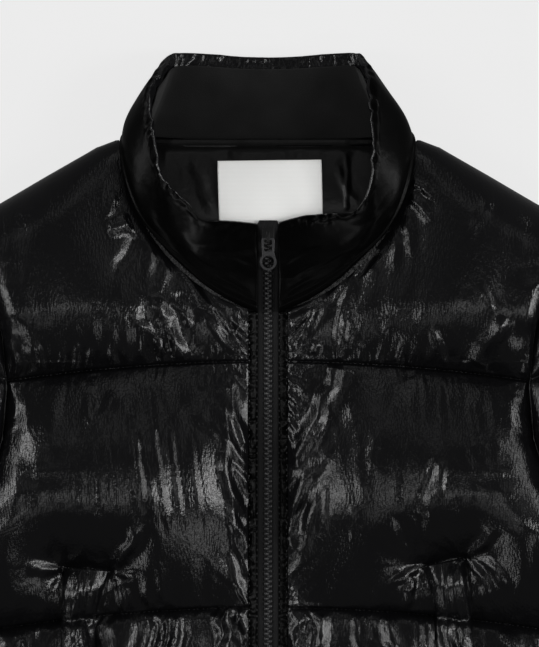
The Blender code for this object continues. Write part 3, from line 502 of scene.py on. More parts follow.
def welt_gap(x, drop, side):
    """Distance across to the welt, 0 on it."""
    down = np.maximum(drop, WELT_TOP[side][0][1] - 1.0)
    edges = np.sort([np.interp(down, [p[1] for p in path], [p[0] for p in path])
                     for path in (WELT_OUT[side], WELT_IN[side])], axis=0)
    aside = np.maximum(np.maximum(edges[0] - x, x - edges[1]), 0.0)
    return np.hypot(aside, np.maximum(WELT_TOP[side][0][1] - drop, 0.0))


def front_height(x, drop, side):
    """Height of a puffed front before its cloth settles."""
    ax = np.abs(x)
    rim = distance(ax, drop, SEAMS["shoulder"], SEAMS["side"], SEAMS["hem"])
    above, below = quilt_gaps(x, drop)
    quilt = np.minimum(above, below)
    armhole = distance(ax, drop, SEAMS["armhole"])
    neck = distance(ax, drop, SEAMS["neck"])
    edge = distance(ax, drop, SEAMS["edge"])
    pocket = distance(x, drop, WELT_TOP[side])
    welt = distance(x, drop, WELT_OUT[side], WELT_IN[side])
    beside_welt = (drop > 322.0) & (drop < 500.0)
    third = drop > read(SEAMS["quilts"][1], ax)
    second = (drop > read(SEAMS["quilts"][0], ax)) & ~third
    rise = np.where(third, 260.0, 105.0)
    fall = np.where(second, dome(below + 1.0, 84.0, 1.0), dome(below + 1.0, 56.0, 0.9))
    full = np.where(second | third, 1.0, 0.66)
    # the puff turns down to the armhole over this width, more narrowly in the yoke
    yoke_turn = 22.0 if side < 0 else 13.0
    turn = yoke_turn + (42.0 - yoke_turn) * smooth((drop - 130.0) / 70.0)
    puff = (full * dome(above + 1.0, rise, 0.95) * fall
            * rounded(rim / 120.0) * dome(armhole + 3.0, turn, 0.55)
            * dome(neck + 2.0, 95.0, 0.9) * dome(edge + 3.0, 150.0, 0.65)
            * (0.2 + 0.8 * dome(pocket, 52.0, 1.0))
            * (1.0 - beside_welt * 0.3 * (1.0 - rounded(welt / 24.0))))
    base = RIM + WALL + (SEAM - RIM - WALL) * rounded(rim / RIM_REACH)
    inland = smooth(edge / 22.0) * smooth(rim / 40.0)
    base -= QUILT_DEPTH * (1.0 - rounded(below / 26.0)) * inland
    base -= QUILT_DEPTH * (1.0 - smooth(above / np.where(third, 7.0, 40.0))) * inland
    height = base + (CREST - SEAM) * puff
    calm = rounded(np.minimum(np.minimum(edge, neck), np.minimum(armhole, rim)) / CALM_REACH)
    height += quilt_gather(x, drop, side) * calm
    # loose cloth between the seams: long soft creases down the panel
    wander = 7.0 * noise(x / 60.0, drop / 55.0, 6)
    free = rounded(np.minimum(quilt, rim) / 30.0)
    calmer = np.where(drop < QUILT_DROPS[0], 0.45, 1.0)
    height += free * calmer * (0.7 * ridges((x + wander) / 15.0, drop / 75.0, 5)
                               + 1.6 * noise(x / 38.0, drop / 50.0, 1))
    return np.maximum(height, RIM + WALL)


def front_folds(x, drop, side):
    """Sharper folds, added once the cloth has settled."""
    ax = np.abs(x)
    armhole = distance(ax, drop, SEAMS["armhole"])
    neck = distance(ax, drop, SEAMS["neck"])
    edge = distance(ax, drop, SEAMS["edge"])
    rim = distance(ax, drop, SEAMS["shoulder"], SEAMS["side"], SEAMS["hem"])
    folds = 0.5 * quilt_gather(x, drop, side) * rounded(np.minimum(edge, rim) / CALM_REACH)
    # gathers along the zip edge, leaning down towards it
    lean = drop + 0.9 * edge
    fine, broad, broad_rise = (2, 4, 1.4) if side < 0 else (5, 6, 2.2)
    gathers = (ridges(lean / 9.0, edge / 40.0, fine) * swell(edge, 5.0)
               + broad_rise * ridges(lean / 24.0, edge / 90.0, broad) * swell(edge, 14.0))
    folds += gathers * smooth((drop - 118.0) / 14.0) * (1.0 - smooth((edge - 20.0) / 20.0))
    # gathers along the neck seam and the armhole
    turn = np.arctan2(drop - 10.0, ax) * 110.0
    folds += 0.5 * ridges(turn / 13.0, neck / 60.0, 1) * swell(neck, 9.0)
    folds += 1.6 * ridges(drop / 16.0, armhole / 60.0, 6) * swell(armhole, 12.0)
    # folds that radiate from the pocket's top corners
    for corner_x, corner_drop in WELT_TOP[side]:
        off_x, off_y = x - corner_x, drop - corner_drop
        away = np.hypot(off_x, off_y) + 0.1
        fan = np.arctan2(off_y, off_x) * 9.0
        folds += (np.where(off_y < 0.0, 0.5, 1.3) * ridges(fan / 3.2, away / 60.0, 3)
                  * swell(away, 11.0))
    for fold in (LEFT_FOLDS if side < 0 else RIGHT_FOLDS):
        folds += crease(x, drop, *fold)
    # the quilt line's groove, and small pleats that stand beside it
    quilt = np.minimum(*quilt_gaps(x, drop))
    folds -= 1.5 * np.exp(-(quilt / 1.0) ** 2) * rounded(rim / 10.0)
    folds += (1.7 * np.maximum(ridges(x / 3.6, quilt / 9.0, 4 if side < 0 else 7), 0.0)
              * np.exp(-((quilt - 2.4) / 2.1) ** 2) * (0.4 + 0.6 * noise(x / 17.0, 3.0, 2)))
    return folds


def crowded(start, end, count, crowd=0.62):
    """Values that lie closer together at both ends, where a puff dives into its seam."""
    t = np.linspace(0.0, 1.0, count + 1)
    return start + (end - start) * (t - crowd * np.sin(2 * math.pi * t) / (2 * math.pi))


def front_rows(step=1.3, columns=199):
    """Plan points of a right front, rows on the quilt lines, closer together above the
    waist where most folds are."""
    stops = (0.0,) + QUILT_DROPS[:2] + (412.0,) + QUILT_DROPS[2:] + (BODY_LENGTH,)
    counts = [6 * int(round((b - a) / step / wider / 6))
              for a, b, wider in zip(stops, stops[1:], (1.0, 1.0, 1.0, 3.0, 3.0))]
    drops = np.concatenate([crowded(a, b, n, 0.62 if b - a > 60.0 else 0.0)[:-1] for a, b, n in
                            zip(stops, stops[1:], counts)] + [[BODY_LENGTH]])
    inner = np.where(drops >= NECK_DEPTH, STRIP_OUTER + GAP,
                     np.maximum(neck_half_width(drops), STRIP_OUTER + GAP))
    outer = row_end(drops)
    share = crowded(0.0, 1.0, columns - 1, 0.4)
    x = inner[:, None] + (outer - inner)[:, None] * share[None, :]
    return x, bowed(x, drops[:, None])


def between(values):
    """Puts a smooth in-between value after every one but the last, along the first axis."""
    padded = np.concatenate([2 * values[:1] - values[1:2], values,
                             2 * values[-1:] - values[-2:-1]])
    middle = (9.0 * (padded[1:-2] + padded[2:-1]) - padded[:-3] - padded[3:]) / 16.0
    out = np.empty((2 * len(values) - 1,) + values.shape[1:])
    out[::2], out[1::2] = values, middle
    return out


def cloth_settled(points, held):
    """Where Blender's cloth brings a grid of points: the sewn points are held, the cloth
    was cut wider than its seams by CLOTH_SPARE and is filled from below.  Solved on every
    second point."""
    coarse, sewn = points[::2, ::2], held[::2, ::2]
    item = grid_mesh("cloth_run", coarse)
    if item.data.polygons[len(item.data.polygons) // 2].normal.z < 0.0:
        item.data.flip_normals()
    item.shape_key_add(name="sewn")
    cut = item.shape_key_add(name="cut")
    wider, longer = CLOTH_SPARE
    cut.data.foreach_set("co", (coarse * (1.0 + wider, 1.0 + longer, 1.0)).ravel())
    cut.value = 0.0
    group = item.vertex_groups.new(name="sewn")
    group.add([int(i) for i in np.flatnonzero(sewn.ravel())], 1.0, "REPLACE")
    cloth = item.modifiers.new("cloth", "CLOTH")
    settings = cloth.settings
    settings.vertex_group_mass = "sewn"
    settings.quality = 5
    settings.mass = 0.15
    settings.tension_stiffness = settings.compression_stiffness = 18.0
    settings.shear_stiffness = 6.0
    settings.bending_stiffness = 0.15
    settings.rest_shape_key = cut
    settings.use_pressure = True
    settings.uniform_pressure_force = CLOTH_PRESSURE
    settings.effector_weights.gravity = 0.0
    cloth.collision_settings.use_collision = False
    cloth.point_cache.frame_start, cloth.point_cache.frame_end = 1, CLOTH_FRAMES
    for number in range(1, CLOTH_FRAMES + 1):
        bpy.context.scene.frame_set(number)
    solved = item.evaluated_get(bpy.context.evaluated_depsgraph_get()).to_mesh()
    found = np.empty(len(solved.vertices) * 3)
    solved.vertices.foreach_get("co", found)
    bpy.data.objects.remove(item, do_unlink=True)
    bpy.context.scene.frame_set(1)
    moved = found.reshape(coarse.shape) - coarse
    return points + between(between(moved).swapaxes(0, 1)).swapaxes(0, 1)


def make_front(side, name):
    """One puffed front, and the visible runs of its quilt seams for the thread."""
    x, drop = front_rows()
    x = side * x
    top = world(x, drop, front_height(x, drop, side))
    held = np.zeros(x.shape, bool)
    held[0], held[-1], held[:, 0], held[:, -1] = True, True, True, True
    seam = np.min([distance(np.abs(x), drop, path) for path in SEAMS["quilts"]], axis=0)
    held |= seam < 0.4
    held |= distance(x, drop, WELT_TOP[side]) < 2.2
    loose = cloth_settled(top, held)
    # wholly drawn where the cloth is taut: just below the second and third quilt lines
    # and at the welt
    above = quilt_gaps(x, drop)[0]
    drawn = (drop > bowed(x, QUILT_DROPS[1])) * (1.0 - smooth((above - 32.0) / 50.0))
    drawn = np.maximum(drawn, 1.0 - smooth(welt_gap(x, drop, side) / 9.0))
    drawn = np.maximum(drawn, np.where(drop < bowed(x, QUILT_DROPS[0]),
                                       YOKE_DRAWN, CHEST_DRAWN))
    top = loose + (top - loose) * drawn[..., None]
    top[..., 2] += front_folds(x, drop, side) * MM
    under = world(x, drop, middle_height(x, drop) + GAP)
    item = tidy_mesh(grid_mesh(name, top, under, coarser=3))
    item.data.set_sharp_from_angle(angle=math.radians(58.0))
    seams = []
    for stop in QUILT_DROPS:
        row = np.abs(drop[:, 0] - bowed(x[:, 0], stop)).argmin()
        free = welt_gap(x[row], drop[row], side) > 1.5
        free[0] = free[-1] = False
        ends = np.flatnonzero(np.diff(free.astype(int)))
        seams += [top[row, a + 1:b + 1] + (0.0, 0.0, -0.1 * MM)
                  for a, b in zip(ends[::2], ends[1::2]) if b - a > 3]
    return item, seams


# ------------------------------------------------------------------ back

def make_back():
    """The back in one piece, resting on the floor, its quilt lines and rim drawn up."""
    x, drop = front_rows(step=5.2, columns=51)
    inner = x[:, :1]
    across = np.concatenate([-x[:, ::-1], inner * -0.5, inner * 0.0, inner * 0.5, x], axis=1)
    fall = np.concatenate([drop[:, ::-1], drop[:, :1], drop[:, :1], drop[:, :1], drop], axis=1)
    fall = np.where((np.abs(across) < NECK_HALF_WIDTH - 8.0) & (fall < BACK_NECK_DROP),
                    BACK_NECK_DROP, fall)
    over = middle_height(across, fall)
    ax = np.abs(across)
    rim = distance(ax, fall, SEAMS["shoulder"], SEAMS["side"], SEAMS["hem"])
    quilt = distance(ax, fall, *(SEAMS["quilts"] + [SEAMS["armhole"]]))
    below = np.maximum((RIM - WALL) * (1 - rounded(rim / RIM_REACH)),
                       BACK_QUILT_DEPTH * (1 - rounded(quilt / RIM_REACH)))
    gather = 1.2 * ridges(across / 9.0, fall / 60.0, 4) * swell(quilt, 6.0)
    below = np.maximum(below + np.maximum(gather, 0.0), 0.0)
    below = np.minimum(below, over - WALL)
    return tidy_mesh(grid_mesh("back", world(across, fall, over), world(across, fall, below)),
                     merge=2.0e-5)


# ------------------------------------------------------------------ sleeves

def to_sleeve(x, drop):
    """Plan to the sleeve's own directions: along it, and across to its outer edge."""
    x, drop = np.asarray(x, float), np.asarray(drop, float)
    return (x * math.cos(SLEEVE_ANGLE) + drop * math.sin(SLEEVE_ANGLE),
            x * math.sin(SLEEVE_ANGLE) - drop * math.cos(SLEEVE_ANGLE))


def from_sleeve(along, across):
    return (along * math.cos(SLEEVE_ANGLE) + across * math.sin(SLEEVE_ANGLE),
            along * math.sin(SLEEVE_ANGLE) - across * math.cos(SLEEVE_ANGLE))


def sleeve_table(points):
    along, across = to_sleeve([p[0] for p in points], [p[1] for p in points])
    return np.stack([along, across], axis=-1)


ARMHOLE_TABLE = sleeve_table(SEAMS["armhole"])
OUTER_TABLE = sleeve_table(SLEEVE_OUTER)
INNER_TABLE = sleeve_table(SLEEVE_INNER)


def sleeve_grid():
    """Plan points of a right sleeve, and how far along it each one is."""
    start, under = ARMHOLE_TABLE[0, 0], ARMHOLE_TABLE[-1, 0]
    stops = (start, *SLEEVE_QUILTS, SLEEVE_END)
    along = np.concatenate([crowded(a, b, 6 * int(round((b - a) / 2.8 / 6)))[:-1]
                            for a, b in zip(stops, stops[1:])] + [[SLEEVE_END]])
    inner = np.where(along <= under, np.interp(along, ARMHOLE_TABLE[:, 0], ARMHOLE_TABLE[:, 1]),
                     np.interp(along, INNER_TABLE[:, 0], INNER_TABLE[:, 1])) + 0.6
    outer = np.interp(along, OUTER_TABLE[:, 0], OUTER_TABLE[:, 1])
    share = np.linspace(0.0, 1.0, 76)
    across = inner[:, None] + (outer - inner)[:, None] * share[None, :]
    along = along[:, None] + 0.0 * across
    return (*from_sleeve(along, across), along)


def make_sleeve(side, name):
    """Upper and under sleeve, two flat cushions one on the other."""
    x, drop, along = sleeve_grid()
    rim = distance(x, drop, SLEEVE_OUTER, SLEEVE_INNER)
    rings = np.min([np.abs(along - stop) for stop in SLEEVE_QUILTS + (SLEEVE_END,)], axis=0)
    armhole = distance(x, drop, SEAMS["armhole"])
    middle = RIM + (MIDDLE - RIM) * rounded(rim / MIDDLE_REACH)
    puff = 0.9 * rounded(rings / 80.0) * rounded(rim / 90.0) * rounded((armhole + 2.0) / 60.0)
    top = (RIM + WALL + (SEAM - RIM - WALL) * rounded(rim / RIM_REACH)
           + (CREST - SEAM) * puff)
    across = to_sleeve(x, drop)[1]
    gather = (0.9 * ridges(across / 6.0, along / 60.0, 2) * swell(rings, 5.0)
              + 2.0 * ridges(across / 17.0, along / 80.0, 3) * swell(rings, 14.0))
    top += gather * rounded(rim / CALM_REACH) * rounded(armhole / CALM_REACH)
    top += (1.8 * ridges(drop / 16.0, armhole / 60.0, 3 if side < 0 else 4)
            * swell(armhole, 12.0) * rounded(rim / CALM_REACH))
    free = rounded(np.minimum(rings, rim) / 30.0)
    top += free * (0.9 * ridges(across / 14.0 + noise(along / 60.0, across / 60.0, 2),
                                along / 70.0, 5) + 1.2 * noise(across / 40.0, along / 50.0, 6))
    top = np.maximum(top, RIM + WALL)
    below = np.maximum((RIM - WALL) * (1 - rounded(rim / RIM_REACH)),
                       BACK_QUILT_DEPTH
                       * (1 - rounded(np.minimum(rings, armhole) / RIM_REACH)))
    below = np.minimum(below, middle - WALL)
    upper = tidy_mesh(grid_mesh("sleeve_top_" + name, world(side * x, drop, top),
                                world(side * x, drop, middle + GAP), coarser=3))
    cut = (slice(None, None, 2), slice(None, None, 3))
    under = tidy_mesh(grid_mesh("sleeve_back_" + name,
                                world(side * x[cut], drop[cut], middle[cut]),
                                world(side * x[cut], drop[cut], below[cut])))
    return upper, under


def make_cuff(side, name):
    """A flattened elastic ring, its rib drawn as fine waves round the opening."""
    inner = np.interp(SLEEVE_END, INNER_TABLE[:, 0], INNER_TABLE[:, 1]) + 1.0
    outer = np.interp(SLEEVE_END, OUTER_TABLE[:, 0], OUTER_TABLE[:, 1])
    middle, half = (inner + outer) / 2.0, (outer - inner) / 2.0 - 4.0
    turn = np.linspace(0, math.tau, 240, endpoint=False)
    wall = 4.5
    rows = []
    # down the cuff, and from its inner skin at -1 to its outer one at 1
    for out, skin in ((0.3, 0.0), (0.6, 0.7), (2.5, 1.0), (24.0, 1.0), (25.6, 0.7), (26.0, 0.1),
                      (25.0, -0.8), (2.0, -0.9)):
        rib = 0.35 * np.sin(turn * 60.0) * (abs(skin) > 0.95)
        reach, rise = half - wall + wall * skin + rib, 6.5 + wall * skin + rib
        across = middle + reach * np.cos(turn)
        x, drop = from_sleeve(SLEEVE_END + out, across)
        rows.append(world(side * x, drop, RIM + 0.15 + rise * np.sin(turn)))
    rows.append(rows[0])
    return tidy_mesh(grid_mesh("cuff_ring_" + name, np.stack(rows), closed_across=True))


# ------------------------------------------------------------------ collar

# The band from the zip round to the middle of the back: sewn edge of the right half, then
# the top edge of the right half and of the left one, each (x, drop, z).  The left half
# leans further out at its top, and breaks near the front corner.
COLLAR = (
    ((8.4, 131.3, 48.5), (8.4, 63.0, 44.5), (-8.4, 64.0, 44.5)),
    ((35.0, 119.2, 51.5), (29.0, 57.8, 45.5), (-29.0, 62.0, 45.5)),
    ((57.6, 103.1, 53.5), (48.0, 56.4, 53.0), (-51.0, 60.5, 53.0)),
    ((74.1, 86.1, 54.5), (66.0, 54.0, 65.0), (-60.0, 49.0, 65.0)),
    ((86.2, 70.0, 54.5), (75.0, 40.0, 76.0), (-77.0, 33.0, 77.0)),
    ((96.3, 52.8, 53.5), (78.5, 20.0, 80.0), (-84.0, 16.0, 81.0)),
    ((102.9, 35.2, 50.5), (79.0, 0.0, 80.0), (-88.0, -6.0, 81.0)),
    ((106.9, 17.0, 44.0), (78.0, -25.0, 74.0), (-90.0, -28.0, 74.0)),
    ((107.8, 4.0, 36.0), (76.5, -45.0, 60.0), (-86.0, -46.0, 60.0)),
    ((104.0, -1.0, 25.0), (74.0, -56.5, 42.0), (-80.0, -57.0, 42.0)),
    ((100.0, -1.5, 15.0), (70.0, -65.5, 24.0), (-75.0, -65.5, 24.0)),
    ((90.0, -0.5, 10.0), (63.0, -67.8, 13.0), (-65.0, -67.8, 13.0)),
    ((60.0, 1.8, 9.0), (42.0, -67.0, 9.5), (-42.0, -67.0, 9.5)),
    ((30.0, 2.4, 9.0), (21.0, -65.2, 9.0), (-21.0, -65.2, 9.0)),
)
COLLAR_BACK = ((0.0, 2.4, 9.0), (0.0, -64.6, 9.0))
COLLAR_STATIONS, COLLAR_RINGS, ROLL_RING = 520, 96, 46
BAND_HEIGHT = 60.0
# The facing covers this part of the band's length, as shares from its right end
FACING_FROM, FACING_TO = 0.285, 0.715
# Round the band's section: share of the way up, and how far it stands off the middle
COLLAR_SECTION = ((-0.02, 4.4), (0.02, 6.4), (0.06, 6.9), (0.1, 6.2), (0.14, 6.9), (0.28, 8.0),
                  (0.42, 7.8), (0.56, 6.8), (0.7, 5.6), (0.82, 4.4), (0.91, 3.0), (0.97, 1.5),
                  (1.0, 0.2), (0.99, -1.6), (0.95, -3.2), (0.88, -4.4), (0.78, -5.0),
                  (0.65, -5.4), (0.5, -5.5), (0.35, -5.3), (0.22, -5.0), (0.1, -4.2),
                  (0.0, -2.2))


def spline_through(points, count):
    """Evenly spaced points on a smooth curve through the given ones."""
    points = np.asarray(points, float)
    ends = np.concatenate([[2 * points[0] - points[1]], points, [2 * points[-1] - points[-2]]])
    out = []
    for i in range(1, len(ends) - 2):
        p0, p1, p2, p3 = ends[i - 1:i + 3]
        t = np.linspace(0, 1, 24, endpoint=False)[:, None]
        out.append(0.5 * (2 * p1 + (p2 - p0) * t + (2 * p0 - 5 * p1 + 4 * p2 - p3) * t ** 2
                          + (3 * p1 - p0 - 3 * p2 + p3) * t ** 3))
    out = np.concatenate(out + [points[-1:]])
    run = np.concatenate([[0], np.cumsum(np.linalg.norm(np.diff(out, axis=0), axis=1))])
    at = np.linspace(0, run[-1], count)
    return np.stack([np.interp(at, run, out[:, k]) for k in range(points.shape[1])], axis=-1)


def collar_lines(count):
    """Sewn and top edges from the right zip edge round the back to the left one."""
    right = [(*sewn, *top) for sewn, top, _ in COLLAR]
    left = [(-x, drop, z, *top) for (x, drop, z), _, top in COLLAR]
    back = [(*COLLAR_BACK[0], *COLLAR_BACK[1])]
    both = spline_through(right + back + left[::-1], count)
    return both[:, :3], both[:, 3:]


def collar_skin(count, section, rings, wrinkle=None):
    """A section carried round the band, and how far round each of its places is."""
    sewn, top = collar_lines(count)
    sewn_w, top_w = (world(line[:, 0], line[:, 1], line[:, 2]) for line in (sewn, top))
    centre = (sewn_w + top_w) / 2.0
    along = np.gradient(centre, axis=0)
    outward = np.cross(along, top_w - sewn_w)
    outward /= np.linalg.norm(outward, axis=1, keepdims=True)
    profile = spline_through([(up * BAND_HEIGHT, off) for up, off in section], rings)
    up, off = profile[:, 0] / BAND_HEIGHT, profile[:, 1]
    run = np.concatenate([[0], np.cumsum(np.linalg.norm(np.diff((sewn + top) / 2, axis=0),
                                                        axis=1))])
    extra = np.zeros((count, rings))
    if wrinkle is not None:
        extra = wrinkle(run[:, None], up[None, :], off[None, :])
    skin = (sewn_w[:, None, :] * (1 - up)[None, :, None] + top_w[:, None, :] * up[None, :, None]
            + outward[:, None, :] * (off[None, :, None] + extra[..., None]) * MM)
    return skin, run


def collar_wrinkles(run, up, off):
    """Soft folds on the outside, tight crinkles where the band rolls over and inside."""
    from_zip = np.minimum(run, float(run.max()) - run)
    outer = off > 0.5
    outside = outer * rounded(1 - np.abs(up - 0.5) * 2)
    front = np.exp(-from_zip / 60.0)
    folds = outside * front * (1.2 * ridges(up * 3.0 + from_zip / 55.0, run / 60.0, 2)
                               + 0.7 * ridges(up * 6.0 + from_zip / 25.0, run / 30.0, 4))
    soft = outside * 0.8 * noise(run / 40.0, up * 1.5, 5)
    for place, near, far in ((0.2, 10.0, 34.0), (0.34, 14.0, 60.0), (0.55, 8.0, 44.0)):
        along = smooth((from_zip - near + 6.0) / 8.0) * smooth((far - from_zip) / 16.0)
        soft += (outer * 0.7 * along
                 * np.exp(-((up - place - 0.04 * noise(from_zip / 20.0, 2.0, 3)) / 0.022) ** 2))
    roll = np.exp(-((up - 0.98) / 0.08) ** 2)
    crinkle = roll * (1.5 * ridges(run / 8.0, up * 6.0, 3) + 0.9 * ridges(run / 4.0, up * 9.0, 6))
    inside = (off < -1.0) * (0.7 * ridges(run / 11.0, up * 5.0, 1)
                             + 0.5 * ridges(run / 5.0, up * 9.0, 7))
    # most crinkled on the right, about 50 mm from the zip
    crinkle = crinkle * (1.0 + 1.4 * np.exp(-((run - 48.0) / 20.0) ** 2))
    return rounded(from_zip / 6.0) * (folds + soft + crinkle + inside)


def make_collar():
    """The padded band: taut outside in the nylon painted darker as shade, crinkled shell cloth
    from its roll inwards.
    """
    skin, _ = collar_skin(COLLAR_STATIONS, COLLAR_SECTION, COLLAR_RINGS, collar_wrinkles)
    for end in (skin[0], skin[-1]):
        end[:, 0] = math.copysign(STRIP_INNER * MM, end[0, 0])
    item = grid_mesh("collar_band", skin, closed_across=True)
    # outside the roll: the nylon copy painted darker as shade; from the roll inwards: the shell
    # nylon
    inside = np.arange(COLLAR_RINGS) > ROLL_RING
    item.data.polygons.foreach_set(
        "material_index", np.tile(inside.astype(np.int32), COLLAR_STATIONS - 1))
    shape = bmesh.new()
    shape.from_mesh(item.data)
    bmesh.ops.holes_fill(shape, edges=[e for e in shape.edges if e.is_boundary])
    shape.to_mesh(item.data)
    shape.free()
    return tidy_mesh(item)


def make_facing():
    """Brushed inner panel at the back of the neck."""
    section = [(0.86, -6.0), (0.7, -6.9), (0.5, -7.0), (0.3, -6.8), (0.05, -4.8)]
    under = [(up, off + 1.0) for up, off in section]

    def soft(run, up, off):
        return 0.5 * noise(run / 30.0, up * 2.0, 5) + 0.0 * off

    top, run = collar_skin(420, section, 40, soft)
    low, _ = collar_skin(420, under, 40, soft)
    chosen = (run > run[-1] * FACING_FROM) & (run < run[-1] * FACING_TO)
    return tidy_mesh(grid_mesh("brushed_facing", top[chosen], low[chosen]))


# ------------------------------------------------------------------ neck lining and label

LINING_TOP, LINING_END, LINING_HALF_WIDTH, LINING_THICK = -1.2, 118.0, 88.0, 0.9
# Height of the lining's top edge, where it is sewn to the facing
LINING_SEAM_HEIGHT = 16.5
LABEL_LEFT, LABEL_RIGHT, LABEL_TOP, LABEL_LENGTH, LABEL_THICK = -38.8, 41.0, 15.8, 57.0, 0.6


def back_top(x, drop):
    return middle_height(x, drop) + GAP


def make_lining():
    """Lining of the back neck, puckered below the facing."""
    drop = np.linspace(LINING_TOP, LINING_END, 110)
    half = np.minimum(LINING_HALF_WIDTH, neck_half_width(np.maximum(drop, 7.0)) - 4.0)
    share = np.linspace(-1.0, 1.0, 150)
    x = half[:, None] * share[None, :]
    d = drop[:, None] + 0.0 * x
    top = np.maximum(d - 7.0, 0.0)
    z = back_top(x, np.maximum(d, 4.0)) + LINING_THICK
    z = LINING_SEAM_HEIGHT + (z - LINING_SEAM_HEIGHT) * smooth((d - LINING_TOP) / 9.0)
    z += (1.4 * ridges(x / 7.0 + 0.3 * noise(x / 20, d / 20, 3), d / 50.0, 2)
          * np.exp(-top / 9.0) * smooth(top / 3.0)
          + 1.0 * ridges(x / 26.0 + d / 60.0, d / 60.0, 4) + 1.0)
    for path, width, rise, ends in (
            ([(59.5, 10), (60.5, 30), (59.5, 55)], 1.4, 1.6, (0.1, 0.1)),
            ([(-60.0, 14), (-50, 34), (-40, 60)], 4.0, 1.6, (0.2, 0.3)),
            ([(52.0, 18), (57, 34), (70, 50)], 2.5, 1.4, (0.2, 0.3))):
        z += crease(x, d, path, width, rise, ends, 0.6)
    return tidy_mesh(grid_mesh("neck_lining_cloth", world(x, d, z),
                               world(x, d, z - LINING_THICK)))


def make_label():
    """Blank label, sewn along its top edge and lifting a little elsewhere."""
    drop = np.linspace(0.0, 1.0, 60)[:, None]
    share = np.linspace(0.0, 1.0, 80)[None, :]
    left = LABEL_LEFT + 1.6 * drop
    right = LABEL_RIGHT + 1.2 * drop
    x = left + (right - left) * share
    d = LABEL_TOP + LABEL_LENGTH * drop - share * (1 - drop)
    z = back_top(x, d) + 4.3 + 0.5 * noise(x / 30.0, d / 30.0, 5) + 0.5 * np.sin(share * 3.0)
    z = z - 0.8 * np.exp(-drop * LABEL_LENGTH / 3.0)
    return tidy_mesh(grid_mesh("blank_label", world(x, d, z), world(x, d, z - LABEL_THICK)))


# ------------------------------------------------------------------ zip and its strips

def make_edge_strip(side, name):
    """Narrow gathered strip; its puckers sit one to each stitch."""
    drop = np.linspace(NECK_DEPTH - 1.0, BODY_LENGTH - 1.0, 900)[:, None]
    share = np.linspace(0.0, 1.0, 12)[None, :]
    x = STRIP_INNER - 0.2 + (STRIP_OUTER + 0.6 - STRIP_INNER) * share + 0.0 * drop
    wobble = 0.9 * noise(drop / 3.0, share * 2.0, 2 if side < 0 else 4)
    x = x + wobble * (share > 0.5) * 1.2
    arch = np.sin(share * math.pi) ** 0.6
    z = (ZIP_HEIGHT + 0.4 + 1.2 * arch + 2.6 * share
         + 1.5 * ridges(drop / 4.6, share * 1.4, 1 if side < 0 else 6) * share ** 2
         + 0.35 * ridges(drop / 3.4, share, 2) + 0.3 * noise(drop / 2.2, share * 3.0, 5) * share)
    d = drop + 0.0 * x + 1.2 * noise(drop / 5.0, share * 2.0, 3)
    top = world(side * x, d, z)
    return tidy_mesh(grid_mesh("gathered_strip_" + name, top,
                               world(side * x, d, z - STRIP_THICK)))


def make_tape(side, name):
    """Zip tape with a cord ridge beside the teeth; its top end narrows and turns down."""
    drop = np.linspace(ZIP_TOP_DROP - 5.5, ZIP_END_DROP, 300)[:, None]
    x = np.array([[0.3, 1.5, 3.0, 3.6, 3.9, 4.2, 4.5, 4.8, 6.0, 8.0, 9.2, 10.6]]) + 0.0 * drop
    x = np.where(x < 0.5, 0.3 - 0.28 * smooth((ZIP_TOP_DROP + 6.0 - drop) / 4.0), x)
    z = ZIP_HEIGHT - 0.2 + np.where(x < 3.3, 0.0, 0.25) + 0.12 * noise(drop / 18.0, x / 4.0, 2)
    z += 0.35 * np.exp(-((x - 4.2) / 0.35) ** 2)
    z -= 4.0 * smooth((x - 8.0) / 2.6) + 3.0 * smooth((ZIP_TOP_DROP - drop) / 5.5)
    x = x * (1.0 - 0.35 * smooth((ZIP_TOP_DROP + 1.0 - drop) / 6.5))
    return tidy_mesh(grid_mesh("tape_" + name, world(side * x, drop, z),
                               world(side * x, drop, z - TAPE_THICK)))


# Teeth: the same side repeats at this pitch and the other side fills the gaps
TOOTH_PITCH = 3.8
THREAD_END_DROP = 640.0
STRIP_THICK, TAPE_THICK = 4.0, 0.9


def close_rings(shape, rings):
    """Faces from ring to ring and a lid on both ends."""
    for low, high in zip(rings, rings[1:]):
        for i in range(len(low)):
            j = (i + 1) % len(low)
            shape.faces.new((low[i], low[j], high[j], high[i]))
    shape.faces.new(rings[-1])
    shape.faces.new(rings[0][::-1])


def tooth_shape():
    """One moulded tooth: a domed body on the tape and a small head that locks at the middle."""
    outline = [(-3.3, -0.9), (-2.9, -1.35), (-2.15, -1.5), (-1.4, -1.3), (-0.85, -0.85),
               (-0.3, -0.62), (0.3, -0.66), (0.75, -0.45), (0.95, 0.0)]
    outline += [(x, -y) for x, y in reversed(outline[:-1])]
    shape = bmesh.new()
    rings = [[shape.verts.new(Vector((-1.9 + (x + 1.9) * share, y * share, z)) * MM)
              for x, y in outline] for share, z in ((1.0, 0.0), (1.0, 1.3), (0.86, 2.1),
                                                    (0.55, 2.6), (0.2, 2.75))]
    close_rings(shape, rings)
    return bpy.data.objects.new("tooth", mesh_of(shape, "tooth"))


def stitch_shape():
    """One stitch of thread, a spindle 1 long and 1 across to be scaled."""
    shape = bmesh.new()
    rings = []
    for at, width in ((-0.5, 0.35), (-0.3, 0.9), (0.0, 1.0), (0.3, 0.9), (0.5, 0.35)):
        rings.append([shape.verts.new((0.5 * width * math.cos(a), 0.5 * width * math.sin(a), at))
                      for a in np.linspace(0, math.tau, 6, endpoint=False)])
    close_rings(shape, rings)
    return bpy.data.objects.new("stitch", mesh_of(shape, "stitch"))


